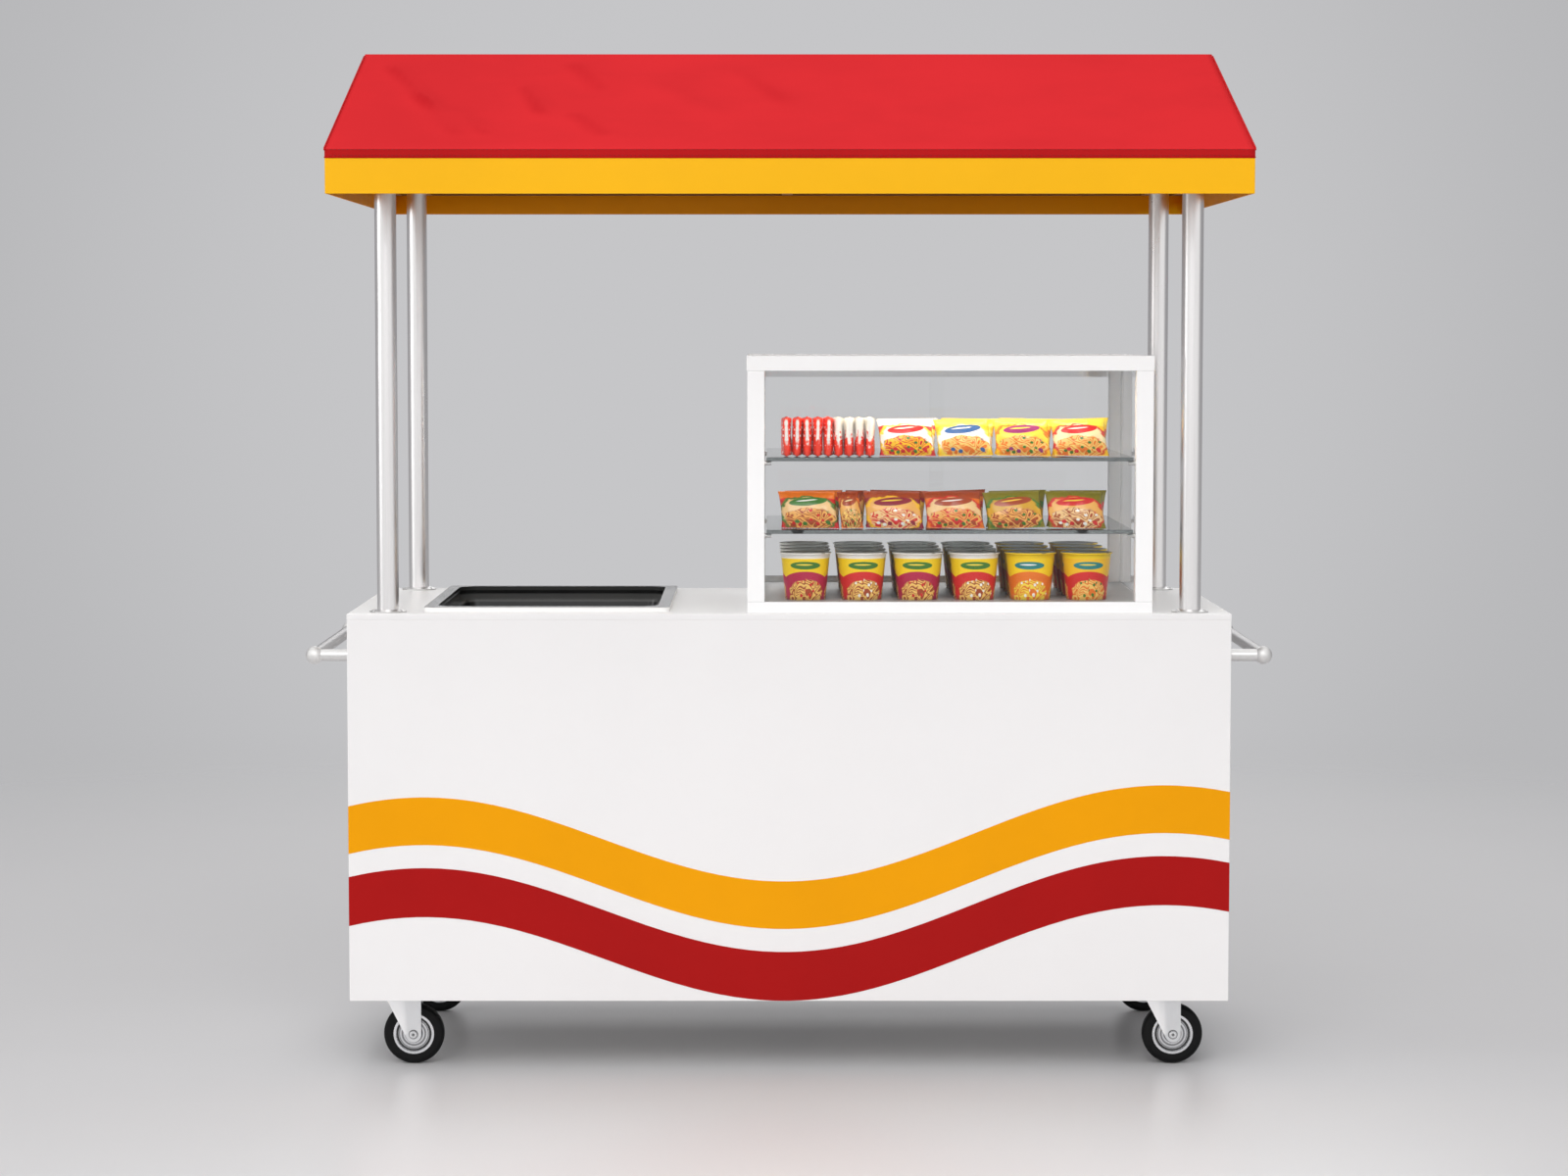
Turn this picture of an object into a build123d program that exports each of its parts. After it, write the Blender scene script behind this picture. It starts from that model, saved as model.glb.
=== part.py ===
from build123d import *
import os
from math import acos, atan2, cos, hypot, pi, sin

# A street food cart: a laminate cabinet on four swivel casters, a counter with a sunk pan and a glazed
# display case, and a cloth canopy with a painted fascia on four steel posts.
# Millimetres. X runs along the cart, the customer's side faces -Y, and the floor is at Z = 0.

# Cabinet and counter
cabinet_length = 1800.0
cabinet_depth = 750.0
counter_height = 940.0
counter_thickness = 12.0
counter_edge_radius = 3.0
panel_thickness = 15.0
skirt_height = 144.0
frame_tube = 30.0
frame_wall = 2.0
board_thickness = 12.0
board_clearance = 0.5
inner_shelf_height = 520.0

# Waved stripes on the front panel
stripe_film = 0.4
wave_rise = 92.6
wave_length = 1512.0
wave_tilt = 0.0164
wave_points = 25
yellow_width = 98.0
stripe_gap = 47.5
red_width = 101.0
stripe_skirt_margin = 0.5

# Sunk pan in the counter
well_end_distance = 152.0
well_y = -10.0
well_opening_length = 454.0
well_opening_depth = 590.0
well_flange = 25.0
well_rim_height = 10.0
well_rim_sheet = 1.5
well_rim_edge_radius = 2.0
pan_sheet = 1.5
pan_depth = 150.0
pan_ledge = 14.0
pan_ledge_drop = 20.0
pan_taper = 22.0
pan_corner_radius = 40.0
pan_lip = 14.0
pan_hang_clearance = 3.0

# Rear doors with their hinges, pulls and catches
door_gap = 3.0
door_stop_gap = 1.0
hinge_height = 70.0
hinge_end_distance = 95.0
hinge_knuckles = 5
hinge_knuckle_radius = 4.0
hinge_pin_radius = 2.0
hinge_leaf = 2.0
hinge_door_leaf_width = 26.0
hinge_panel_leaf_margin = 1.5
knuckle_gap = 0.3
running_clearance = 0.05
pull_span = 128.0
pull_standoff = 30.0
pull_radius = 5.0
pull_bend_radius = 14.0
pull_edge_distance = 55.0
pull_height = 640.0
catch_width = 18.0
catch_height = 44.0
catch_depth = 26.0
catch_gap = 0.3

# Push handles at both ends
handle_height = 850.0
handle_reach = 73.0
handle_half_span = 315.0
handle_radius = 12.5
ball_radius = 18.5
ball_socket_depth = 5.0
rosette_radius = 24.0
rosette_thickness = 4.0

# Canopy posts
post_end_distance = 80.0
post_edge_distance = 45.0
post_radius = 22.0
post_wall = 2.0
post_flange_radius = 37.5
post_flange_thickness = 6.0
post_flange_rim = 2.5
post_shoulder = 2.0
spigot_length = 60.0
spigot_clearance = 0.2

# Canopy
canopy_end_overhang = 6.0
canopy_side_overhang = 255.0
fascia_underside = 1780.0
fascia_height = 69.0
fascia_thickness = 3.0
hem_height = 20.0
ridge_height = 2098.0
ridge_end_inset = 12.0
cover_thickness = 2.5
canopy_tube = 25.0
canopy_wall = 1.5
canopy_frame_drop = 2.0
ridge_end_gap = 5.0
rafter_pairs = 5
cover_slack = 0.2

# Display case
case_end_distance = 160.0
case_front_setback = 12.0
case_width = 825.0
case_depth = 630.0
case_height = 523.0
case_post = 35.0
case_base_thickness = 23.0
case_lid_thickness = 30.0
case_lid_overhang = 1.5
case_edge_radius = 2.0
pane_thickness = 5.0
pane_inset = 5.5
pane_bite = 7.0
pane_clearance = 0.3
groove_spare = 1.0
upper_shelf_rise = 317.0
lower_shelf_rise = 169.0
shelf_thickness = 8.0
shelf_side_gap = 4.0
shelf_pane_gap = 4.0
peg_radius = 4.0
peg_length = 14.0
peg_collar_radius = 5.5
peg_collar = 3.0
peg_edge_distance = 12.0
peg_seat_gap = 0.1
track_width = 18.0
track_groove = 5.0
track_floor = 3.0
lower_track_height = 12.0
upper_track_height = 20.0
slider_thickness = 4.0
slider_overlap = 30.0
slider_end_gap = 1.0
slider_ride_gap = 0.3
slider_top_engagement = 10.0
slider_pull_radius = 19.0
slider_pull_thickness = 2.5
slider_pull_recess = 1.5
slider_pull_wall = 3.0
slider_pull_edge = 70.0
slider_pull_rise = 157.0
light_length = 600.0
light_width = 24.0
light_height = 14.0
light_recess = 1.0
light_pocket_gap = 0.5
light_setback = 45.0
light_edge_radius = 4.0

# Goods on show, with their places along X measured from the case's inner left side
goods_clearance = 0.3
pack_height = 80.0
pack_thickness = 30.0
pack_seal = 3.0
pack_lean = 16.0
pack_row_pitch = 62.0
pack_rows = 2
upper_pack_width = 114.0
upper_pack_pitch = 118.0
upper_pack_first = 293.0
upper_pack_count = 4
side_pack_pitch = 21.3
side_pack_first = 45.0
side_pack_count = 9
side_pack_thickness = 20.0
side_pack_width = 100.0
middle_pack_width = 119.0
middle_pack_pitch = 124.0
middle_pack_first = 267.0
middle_pack_count = 4
end_pack_place = 94.0
small_pack_place = 180.0
small_pack_width = 46.0
goods_front_setback = 16.0
cup_height = 97.0
cup_top_radius = 52.0
cup_base_radius = 41.0
cup_lid_height = 5.0
cup_lid_lip = 1.6
cup_first = 84.0
cup_pitch = 115.6
cup_count = 6
cup_row_pitch = 112.0
cup_rows = 4

# Casters
swivel_end_distance = 115.0
swivel_edge_distance = 85.0
caster_height = 158.0
caster_trail = 9.0
wheel_radius = 62.5
tyre_width = 32.0
tyre_shoulder = 11.0
rim_seat_radius = 42.0
rim_width = 30.0
rim_lip = 5.0
rim_groove = 5.0
rim_groove_depth = 7.0
rim_disc_recess = 3.0
hub_radius = 13.0
hub_length = 37.0
hub_side_gap = 0.5
axle_radius = 5.0
axle_head_radius = 8.5
axle_head_height = 4.5
axle_head_dome = 2.0
fork_sheet = 3.0
fork_front_reach = 52.0
fork_boss_radius = 16.0
fork_crease = 10.0
fork_nose_taper = 5.0
fork_bend_radius = 4.0
race_radius = 30.0
race_height = 5.0
race_step = 1.5
fork_race_height = 3.0
swivel_gap = 0.3
kingpin_radius = 6.0
kingpin_head_radius = 11.0
kingpin_head_height = 3.5
plate_length = 104.0
plate_width = 84.0
plate_thickness = 4.0
plate_corner_radius = 8.0
plate_hole_x = 80.0
plate_hole_y = 60.0
plate_hole_radius = 4.5

# Places worked out from the sizes above
half_length = cabinet_length / 2
half_depth = cabinet_depth / 2
counter_underside = counter_height - counter_thickness
inner_x = half_length - panel_thickness
inner_y = half_depth - panel_thickness
base_top = caster_height + frame_tube
post_x = half_length - post_end_distance
post_y = half_depth - post_edge_distance
swivel_x = half_length - swivel_end_distance
swivel_y = half_depth - swivel_edge_distance
axle_z = wheel_radius
well_x = well_end_distance + well_flange + well_opening_length / 2 - half_length
canopy_length = cabinet_length + 2 * canopy_end_overhang
canopy_depth = cabinet_depth + 2 * canopy_side_overhang
ridge_length = canopy_length - 2 * ridge_end_inset
fascia_top = fascia_underside + fascia_height
eave_z = fascia_top + hem_height
case_right = half_length - case_end_distance
case_left = case_right - case_width
case_front = case_front_setback - half_depth
case_rear = case_front + case_depth
case_floor = counter_height + case_base_thickness
lid_underside = counter_height + case_height - case_lid_thickness
case_in_left = case_left + case_post
case_in_right = case_right - case_post
upper_shelf_top = counter_height + upper_shelf_rise
lower_shelf_top = counter_height + lower_shelf_rise

os.makedirs("parts", exist_ok=True)


def save(name, *pieces):
    """Write a piece, or a group of like pieces, to its own file."""
    solids = [solid for piece in pieces for solid in piece.solids()]
    export_step(Compound(solids), f"parts/{name}.step")


def block(low, high):
    """Rectangular solid between two opposite corners."""
    size = [b - a for a, b in zip(low, high)]
    middle = [(a + b) / 2 for a, b in zip(low, high)]
    return Pos(*middle) * Box(*size)


def box_tube(low, high, along, wall):
    """Square tube that fills the space between two corners, open at both ends."""
    inset = [0 if axis == along else wall for axis in "XYZ"]
    bore_low = [a + i for a, i in zip(low, inset)]
    bore_high = [b - i for b, i in zip(high, inset)]
    return block(low, high) - block(bore_low, bore_high)


def rail_x(x0, x1, y, z0, side, wall):
    """Square tube along X, centred on y, with its underside at z0."""
    return box_tube((x0, y - side / 2, z0), (x1, y + side / 2, z0 + side), "X", wall)


def rail_y(y0, y1, x, z0, side, wall):
    """Square tube along Y, centred on x, with its underside at z0."""
    return box_tube((x - side / 2, y0, z0), (x + side / 2, y1, z0 + side), "Y", wall)


def upright(x, y, z0, z1, side, wall):
    """Square tube standing on z0, centred on x and y."""
    return box_tube((x - side / 2, y - side / 2, z0), (x + side / 2, y + side / 2, z1), "Z", wall)


def rod(start, end, radius):
    """Round bar between two points."""
    run = Vector(*end) - Vector(*start)
    bar = Cylinder(radius, run.length, align=(Align.CENTER, Align.CENTER, Align.MIN))
    return Plane(origin=start, z_dir=run) * bar


def turned(points):
    """Turned piece about Z from half of its outline, as (radius, height) points."""
    outline = Plane.XZ * make_face(Polyline(*points, close=True))
    return revolve(outline, Axis.Z)


def rounded_slab(length, depth, height, radius):
    """Slab standing on Z = 0 with rounded upright corners."""
    return extrude(RectangleRounded(length, depth, radius), height)


# Welded base and cabinet frame of square tube
rail_row = inner_y - frame_tube / 2
rail_end = inner_x - frame_tube / 2
rail_inside = inner_y - frame_tube
caster_rails = [swivel_x - plate_hole_x / 2, swivel_x + plate_hole_x / 2]
base_cross_x = [0] + [side * x for side in (-1, 1) for x in (*caster_rails, rail_end)]
base_frame = []
for y in (-rail_row, rail_row):
    base_frame.append(rail_x(-inner_x, inner_x, y, caster_height, frame_tube, frame_wall))
for x in base_cross_x:
    base_frame.append(rail_y(-rail_inside, rail_inside, x, caster_height, frame_tube, frame_wall))
save("base_frame", *base_frame)

top_rail_z = counter_underside - frame_tube
shelf_rail_z = inner_shelf_height - board_thickness - frame_tube
upright_places = [(x, y) for x in (-rail_end, 0, rail_end) for y in (-rail_row, rail_row)]
well_hole_length = well_opening_length + 2 * pan_hang_clearance
well_rail_offset = well_hole_length / 2 + frame_tube / 2 + board_clearance
case_rail_x = case_left + case_width / 2
top_cross_x = [-rail_end, well_x - well_rail_offset, well_x + well_rail_offset, case_rail_x, rail_end]
cabinet_frame = [upright(x, y, base_top, top_rail_z, frame_tube, frame_wall) for x, y in upright_places]
for y in (-rail_row, rail_row):
    cabinet_frame.append(rail_x(-inner_x, inner_x, y, top_rail_z, frame_tube, frame_wall))
    for side in (-1, 1):
        ends = sorted((side * frame_tube / 2, side * (rail_end - frame_tube / 2)))
        cabinet_frame.append(rail_x(*ends, y, shelf_rail_z, frame_tube, frame_wall))
for x in top_cross_x:
    cabinet_frame.append(rail_y(-rail_inside, rail_inside, x, top_rail_z, frame_tube, frame_wall))
save("cabinet_frame", *cabinet_frame)


def notched_board(underside):
    """Board that fills the cabinet's plan, cut out round the six uprights."""
    reach_x = inner_x - board_clearance
    reach_y = inner_y - board_clearance
    board = block((-reach_x, -reach_y, underside), (reach_x, reach_y, underside + board_thickness))
    half_notch = frame_tube / 2 + board_clearance
    for x, y in upright_places:
        low = (x - half_notch, y - half_notch, underside)
        high = (x + half_notch, y + half_notch, underside + board_thickness)
        board -= block(low, high)
    return board


save("floor_panel", notched_board(base_top))
save("inner_shelf", notched_board(inner_shelf_height - board_thickness))

# Outer panels and the counter slab
front_low = (-half_length, -half_depth, skirt_height)
front_high = (half_length, -inner_y, counter_underside)
save("front_panel", block(front_low, front_high))
for side, name in ((-1, "left"), (1, "right")):
    ends = sorted((side * inner_x, side * half_length))
    panel = block((ends[0], -inner_y, skirt_height), (ends[1], half_depth, counter_underside))
    save(f"{name}_panel", panel)


def well_slab(grow, height):
    """Slab of the pan opening's plan, grown on all sides, standing on Z = 0."""
    length = well_opening_length + 2 * grow
    depth = well_opening_depth + 2 * grow
    return rounded_slab(length, depth, height, pan_corner_radius + grow)


counter = block((-half_length, -half_depth, counter_underside), (half_length, half_depth, counter_height))
counter = fillet(counter.faces().sort_by(Axis.Z)[-1].edges(), counter_edge_radius)
counter -= Pos(well_x, well_y, counter_underside) * well_slab(pan_hang_clearance, counter_thickness)
save("counter_top", counter)


def wave(x):
    """Height of the wave over the stripes' lowest line."""
    return wave_tilt * x + wave_rise * (1 - cos(2 * pi * x / wave_length))


def stripe(lower_line, width):
    """Waved film across the front panel, lower_line being its lowest edge in the middle of the cart."""
    steps = [cabinet_length * i / (wave_points - 1) - half_length for i in range(wave_points)]
    lower = [(x, lower_line + wave(x)) for x in steps]
    upper = [(x, z + width) for x, z in reversed(lower)]
    outline = Spline(*lower) + Line(lower[-1], upper[0]) + Spline(*upper) + Line(upper[-1], lower[0])
    return extrude(Plane.XZ.offset(half_depth) * make_face(outline), stripe_film)


red_line = skirt_height + stripe_skirt_margin
save("red_stripe", stripe(red_line, red_width))
save("yellow_stripe", stripe(red_line + red_width + stripe_gap, yellow_width))

# Sunk pan hung by its lip on the counter, with a folded steel rim over the lip
rim_length = well_opening_length + 2 * well_flange
rim_depth = well_opening_depth + 2 * well_flange
rim_corner = well_flange / 2
rim = rounded_slab(rim_length, rim_depth, well_rim_height, rim_corner)
rim = fillet(rim.faces().sort_by(Axis.Z)[-1].edges(), well_rim_edge_radius)
hollow_height = well_rim_height - well_rim_sheet
rim_hollow_length = rim_length - 2 * well_rim_sheet
rim_hollow_depth = rim_depth - 2 * well_rim_sheet
rim -= rounded_slab(rim_hollow_length, rim_hollow_depth, hollow_height, rim_corner - well_rim_sheet)
rim += Pos(0, 0, pan_sheet) * well_slab(well_rim_sheet, well_rim_height - pan_sheet)
rim -= well_slab(0, well_rim_height)
save("well_rim", Pos(well_x, well_y, counter_height) * rim)


def pan_form(inset, floor, ledge):
    """Stepped tray form drawn in by inset: a tapered tray from floor up to ledge, then an upright collar."""
    collar = Pos(0, 0, ledge) * well_slab(-inset, -ledge)
    draw_in = inset + pan_ledge
    length = well_opening_length - 2 * draw_in
    depth = well_opening_depth - 2 * draw_in
    corner = pan_corner_radius - draw_in
    mouth = RectangleRounded(length, depth, corner)
    foot = RectangleRounded(length - 2 * pan_taper, depth - 2 * pan_taper, corner)
    return collar + loft([Pos(0, 0, floor) * foot, Pos(0, 0, ledge) * mouth])


pan = pan_form(0, -pan_depth, -pan_ledge_drop) + well_slab(pan_lip, pan_sheet)
pan -= pan_form(pan_sheet, pan_sheet - pan_depth, pan_sheet - pan_ledge_drop)
pan -= well_slab(-pan_sheet, pan_sheet)
save("well_tub", Pos(well_x, well_y, counter_height) * pan)

# Rear doors on surface hinges
door_inner = inner_y + door_stop_gap
door_bottom = skirt_height + door_gap
door_top = counter_underside - door_gap
hinge_x = inner_x - door_gap / 2
hinge_y = half_depth + hinge_knuckle_radius
hinge_z = [door_bottom + hinge_end_distance, door_top - hinge_end_distance - hinge_height]
knuckle_length = hinge_height / hinge_knuckles


def hinge_leaf_plate(x0, x1, knuckle_numbers, bore):
    """Hinge leaf between x0 and x1, with its share of the knuckles about Z at X = 0, Y = 0."""
    plate_y = (-hinge_knuckle_radius, hinge_leaf - hinge_knuckle_radius)
    leaf = block((x0, plate_y[0], 0), (x1, plate_y[1], hinge_height))
    near = min(x0, x1, key=abs)
    for number in knuckle_numbers:
        z0 = number * knuckle_length + knuckle_gap / 2
        z1 = (number + 1) * knuckle_length - knuckle_gap / 2
        knuckle = rod((0, 0, z0), (0, 0, z1), hinge_knuckle_radius)
        tab = block((min(0, near), plate_y[0], z0), (max(0, near), plate_y[1], z1))
        leaf += knuckle + tab
    if bore:
        leaf -= rod((0, 0, 0), (0, 0, hinge_height), hinge_pin_radius + running_clearance)
    else:
        leaf += rod((0, 0, 0), (0, 0, hinge_height), hinge_pin_radius)
    return leaf


leaf_start = hinge_knuckle_radius + knuckle_gap
panel_leaf_end = half_length - hinge_panel_leaf_margin - hinge_x
fixed_knuckles = range(0, hinge_knuckles, 2)
door_knuckles = range(1, hinge_knuckles, 2)
panel_leaf = hinge_leaf_plate(leaf_start, panel_leaf_end, fixed_knuckles, False)
door_leaf = hinge_leaf_plate(-leaf_start - hinge_door_leaf_width, -leaf_start, door_knuckles, True)
pull_foot = (0, half_depth, pull_height - pull_span / 2)
pull_out = (0, half_depth + pull_standoff, pull_height - pull_span / 2)
pull_back = (0, half_depth + pull_standoff, pull_height + pull_span / 2)
pull_head = (0, half_depth, pull_height + pull_span / 2)
pull_path = FilletPolyline(pull_foot, pull_out, pull_back, pull_head, radius=pull_bend_radius)
pull_section = Plane(origin=pull_foot, z_dir=(0, 1, 0)) * Circle(pull_radius)
door_pull = sweep(pull_section, path=pull_path)
hinge_plates = []
door_catches = []
for side, name in ((-1, "left"), (1, "right")):
    door_ends = sorted((side * door_gap / 2, side * (inner_x - door_gap)))
    door = block((door_ends[0], door_inner, door_bottom), (door_ends[1], half_depth, door_top))
    save(f"{name}_door", door)
    door_leaves = []
    for z in hinge_z:
        turn = Rot(0, 0, 0) if side > 0 else Rot(0, 180, 0)
        lift = z if side > 0 else z + hinge_height
        place = Pos(side * hinge_x, hinge_y, lift) * turn
        hinge_plates.append(place * panel_leaf)
        door_leaves.append(place * door_leaf)
    save(f"{name}_hinge_leaves", *door_leaves)
    save(f"{name}_door_pull", Pos(side * pull_edge_distance, 0, 0) * door_pull)
    catch_ends = sorted((side * frame_tube / 2, side * (frame_tube / 2 + catch_width)))
    catch_rear = door_inner - catch_gap
    catch_low = (catch_ends[0], catch_rear - catch_depth, pull_height - catch_height / 2)
    catch_high = (catch_ends[1], catch_rear, pull_height + catch_height / 2)
    door_catches.append(block(catch_low, catch_high))
save("hinge_plates", *hinge_plates)
save("door_catches", *door_catches)

# Push handles: a bar between two ball joints, held off the end panel by two turned arms
bar_x = half_length + handle_reach
bar_end = handle_half_span - ball_radius + ball_socket_depth
arm_end = handle_reach - ball_radius + ball_socket_depth
arm = turned(
    [
        (0, 0),
        (rosette_radius, 0),
        (rosette_radius, rosette_thickness / 2),
        (rosette_radius - rosette_thickness / 2, rosette_thickness),
        (handle_radius, rosette_thickness),
        (handle_radius, arm_end),
        (0, arm_end),
    ]
)
handle_balls = []
handle_brackets = []
for side, name in ((-1, "left"), (1, "right")):
    x = side * bar_x
    bar = rod((x, -bar_end, handle_height), (x, bar_end, handle_height), handle_radius)
    save(f"{name}_handle_bar", bar)
    for end in (-1, 1):
        y = end * handle_half_span
        bracket = Pos(side * half_length, y, handle_height) * Rot(0, side * 90, 0) * arm
        handle_brackets.append(bracket)
        handle_balls.append(Pos(x, y, handle_height) * Sphere(ball_radius) - bar - bracket)
save("handle_balls", *handle_balls)
save("handle_brackets", *handle_brackets)

# Canopy posts: steel tubes between a flanged spigot on the counter and one under the canopy
spigot_radius = post_radius - post_wall - spigot_clearance
spigot_outline = [
    (0, 0),
    (post_flange_radius, 0),
    (post_flange_radius, post_flange_rim),
    (post_radius + post_shoulder, post_flange_thickness),
    (spigot_radius, post_flange_thickness),
    (spigot_radius, post_flange_thickness + spigot_length),
    (0, post_flange_thickness + spigot_length),
]
spigot = turned(spigot_outline)
ring_top = fascia_top - canopy_frame_drop
ring_z = ring_top - canopy_tube
post_foot = counter_height + post_flange_thickness
post_head = ring_z - post_flange_thickness
post_places = [(x, y) for x in (-post_x, post_x) for y in (-post_y, post_y)]
post_length = post_head - post_foot
post_tube = Cylinder(post_radius, post_length) - Cylinder(post_radius - post_wall, post_length)
save("canopy_posts", *[Pos(x, y, (post_foot + post_head) / 2) * post_tube for x, y in post_places])
save("post_flanges", *[Pos(x, y, counter_height) * spigot for x, y in post_places])
save("canopy_sockets", *[Pos(x, y, ring_z) * Rot(180, 0, 0) * spigot for x, y in post_places])

# Canopy frame, fascia boards and the stretched cloth cover
canopy_x = canopy_length / 2
canopy_y = canopy_depth / 2
fascia_in_x = canopy_x - fascia_thickness
fascia_in_y = canopy_y - fascia_thickness
ring_row = fascia_in_y - canopy_tube / 2
ring_end = fascia_in_x - canopy_tube / 2
ring_inside = fascia_in_y - canopy_tube
roof_slope = atan2(ridge_height - eave_z, canopy_y)
rise = (ridge_height - eave_z) / canopy_y
cover_drop = cover_thickness / cos(roof_slope) + cover_slack
tube_drop = canopy_tube / cos(roof_slope)
wall_drop = canopy_wall / cos(roof_slope)


def under_cover(y):
    """Height of the frame's upper side just under the cloth at y."""
    return ridge_height - rise * y - cover_drop


ridge_half = canopy_tube / 2
ridge_z = under_cover(ridge_half) - canopy_tube
ridge_reach = ridge_length / 2 - ridge_end_gap
rafter_foot = fascia_in_y - cover_slack
rafter_heel = (ridge_height - cover_drop - tube_drop - ring_top) / rise
rafter_outline = [
    (ridge_half, under_cover(ridge_half)),
    (rafter_foot, under_cover(rafter_foot)),
    (rafter_foot, ring_top),
    (rafter_heel, ring_top),
    (ridge_half, under_cover(ridge_half) - tube_drop),
]
bore_outline = [
    (0, under_cover(0) - wall_drop),
    (canopy_y, under_cover(canopy_y) - wall_drop),
    (canopy_y, under_cover(canopy_y) - tube_drop + wall_drop),
    (0, under_cover(0) - tube_drop + wall_drop),
]
rafter = extrude(Plane.YZ * make_face(Polyline(*rafter_outline, close=True)), canopy_tube / 2, both=True)
rafter -= extrude(
    Plane.YZ * make_face(Polyline(*bore_outline, close=True)), canopy_tube / 2 - canopy_wall, both=True
)
rafter_end = ridge_reach - canopy_tube / 2
rafter_x = [rafter_end * (2 * i / (rafter_pairs - 1) - 1) for i in range(rafter_pairs)]
canopy_frame = []
for y in (-ring_row, ring_row):
    canopy_frame.append(rail_x(-fascia_in_x, fascia_in_x, y, ring_z, canopy_tube, canopy_wall))
for x in (-ring_end, -post_x, 0, post_x, ring_end):
    canopy_frame.append(rail_y(-ring_inside, ring_inside, x, ring_z, canopy_tube, canopy_wall))
canopy_frame.append(rail_x(-ridge_reach, ridge_reach, 0, ridge_z, canopy_tube, canopy_wall))
for x in rafter_x:
    canopy_frame.append(Pos(x, 0, 0) * rafter)
    canopy_frame.append(Pos(x, 0, 0) * Rot(0, 0, 180) * rafter)
save("canopy_frame", *canopy_frame)

fascia = []
for side in (-1, 1):
    long_y = sorted((side * fascia_in_y, side * canopy_y))
    fascia.append(block((-canopy_x, long_y[0], fascia_underside), (canopy_x, long_y[1], fascia_top)))
    end_x = sorted((side * fascia_in_x, side * canopy_x))
    fascia.append(block((end_x[0], -fascia_in_y, fascia_underside), (end_x[1], fascia_in_y, fascia_top)))
save("fascia", *fascia)


def gable(reach_x, reach_y, foot, eave, ridge, ridge_reach_x):
    """Ridged roof form with its two ends leaning in towards the ridge."""
    section = [(-reach_y, foot), (reach_y, foot), (reach_y, eave), (0, ridge), (-reach_y, eave)]
    form = extrude(Plane.YZ * make_face(Polyline(*section, close=True)), reach_x, both=True)
    over = [(reach_x, eave), (reach_x, ridge), (ridge_reach_x, ridge)]
    wedge = extrude(Plane.XZ * make_face(Polyline(*over, close=True)), reach_y, both=True)
    return form - wedge - Rot(0, 0, 180) * wedge


end_lean = (canopy_length - ridge_length) / 2 / (ridge_height - eave_z)
cloth_drop = cover_thickness / cos(roof_slope)
lining_eave = eave_z + cover_thickness * rise - cloth_drop
lining_ridge = ridge_height - cloth_drop
lining_x = canopy_x - cover_thickness * hypot(1, end_lean) + end_lean * (eave_z - lining_eave)
lining_ridge_x = lining_x - end_lean * (lining_ridge - lining_eave)
cover = gable(canopy_x, canopy_y, fascia_top, eave_z, ridge_height, ridge_length / 2)
lining_y = canopy_y - cover_thickness
cover -= gable(lining_x, lining_y, fascia_top, lining_eave, lining_ridge, lining_ridge_x)
save("roof_cover", cover)

# Display case: base board, grooved corner posts, lid, panes let into the grooves
base_board = block((case_left, case_front, counter_height), (case_right, case_rear, case_floor))
lid_low = (case_left - case_lid_overhang, case_front - case_lid_overhang, lid_underside)
lid_high = (case_right + case_lid_overhang, case_rear + case_lid_overhang, counter_height + case_height)
lid = fillet(block(lid_low, lid_high).edges().filter_by(Axis.Z), case_edge_radius)
half_post = case_post / 2
case_post_places = [
    (x, y)
    for x in (case_left + half_post, case_right - half_post)
    for y in (case_front + half_post, case_rear - half_post)
]
case_posts = []
for x, y in case_post_places:
    low = (x - half_post, y - half_post, case_floor)
    high = (x + half_post, y + half_post, lid_underside)
    case_posts.append(block(low, high))
pane_z = (case_floor - pane_bite, lid_underside + pane_bite)
pane_x = (case_in_left - pane_bite, case_in_right + pane_bite)
pane_y = (case_front + case_post - pane_bite, case_rear - case_post + pane_bite)
front_pane_y = (case_front + pane_inset, case_front + pane_inset + pane_thickness)
left_pane_x = (case_left + pane_inset, case_left + pane_inset + pane_thickness)
right_pane_x = (case_right - pane_inset - pane_thickness, case_right - pane_inset)
pane_spans = [
    (pane_x, front_pane_y),
    (left_pane_x, pane_y),
    (right_pane_x, pane_y),
]
panes = []
for span_x, span_y in pane_spans:
    low = (span_x[0], span_y[0], pane_z[0])
    high = (span_x[1], span_y[1], pane_z[1])
    panes.append(block(low, high))
    spare_x = groove_spare if span_x == pane_x else pane_clearance
    spare_y = groove_spare if span_y == pane_y else pane_clearance
    groove_low = (low[0] - spare_x, low[1] - spare_y, low[2])
    groove_high = (high[0] + spare_x, high[1] + spare_y, high[2] + groove_spare)
    groove = block(groove_low, groove_high)
    case_posts = [post - groove for post in case_posts]
    base_board -= groove
    lid -= groove
save("case_base", base_board)
save("case_posts", *case_posts)
save("case_front_glass", panes[0])
save("case_side_glass", *panes[1:])

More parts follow.
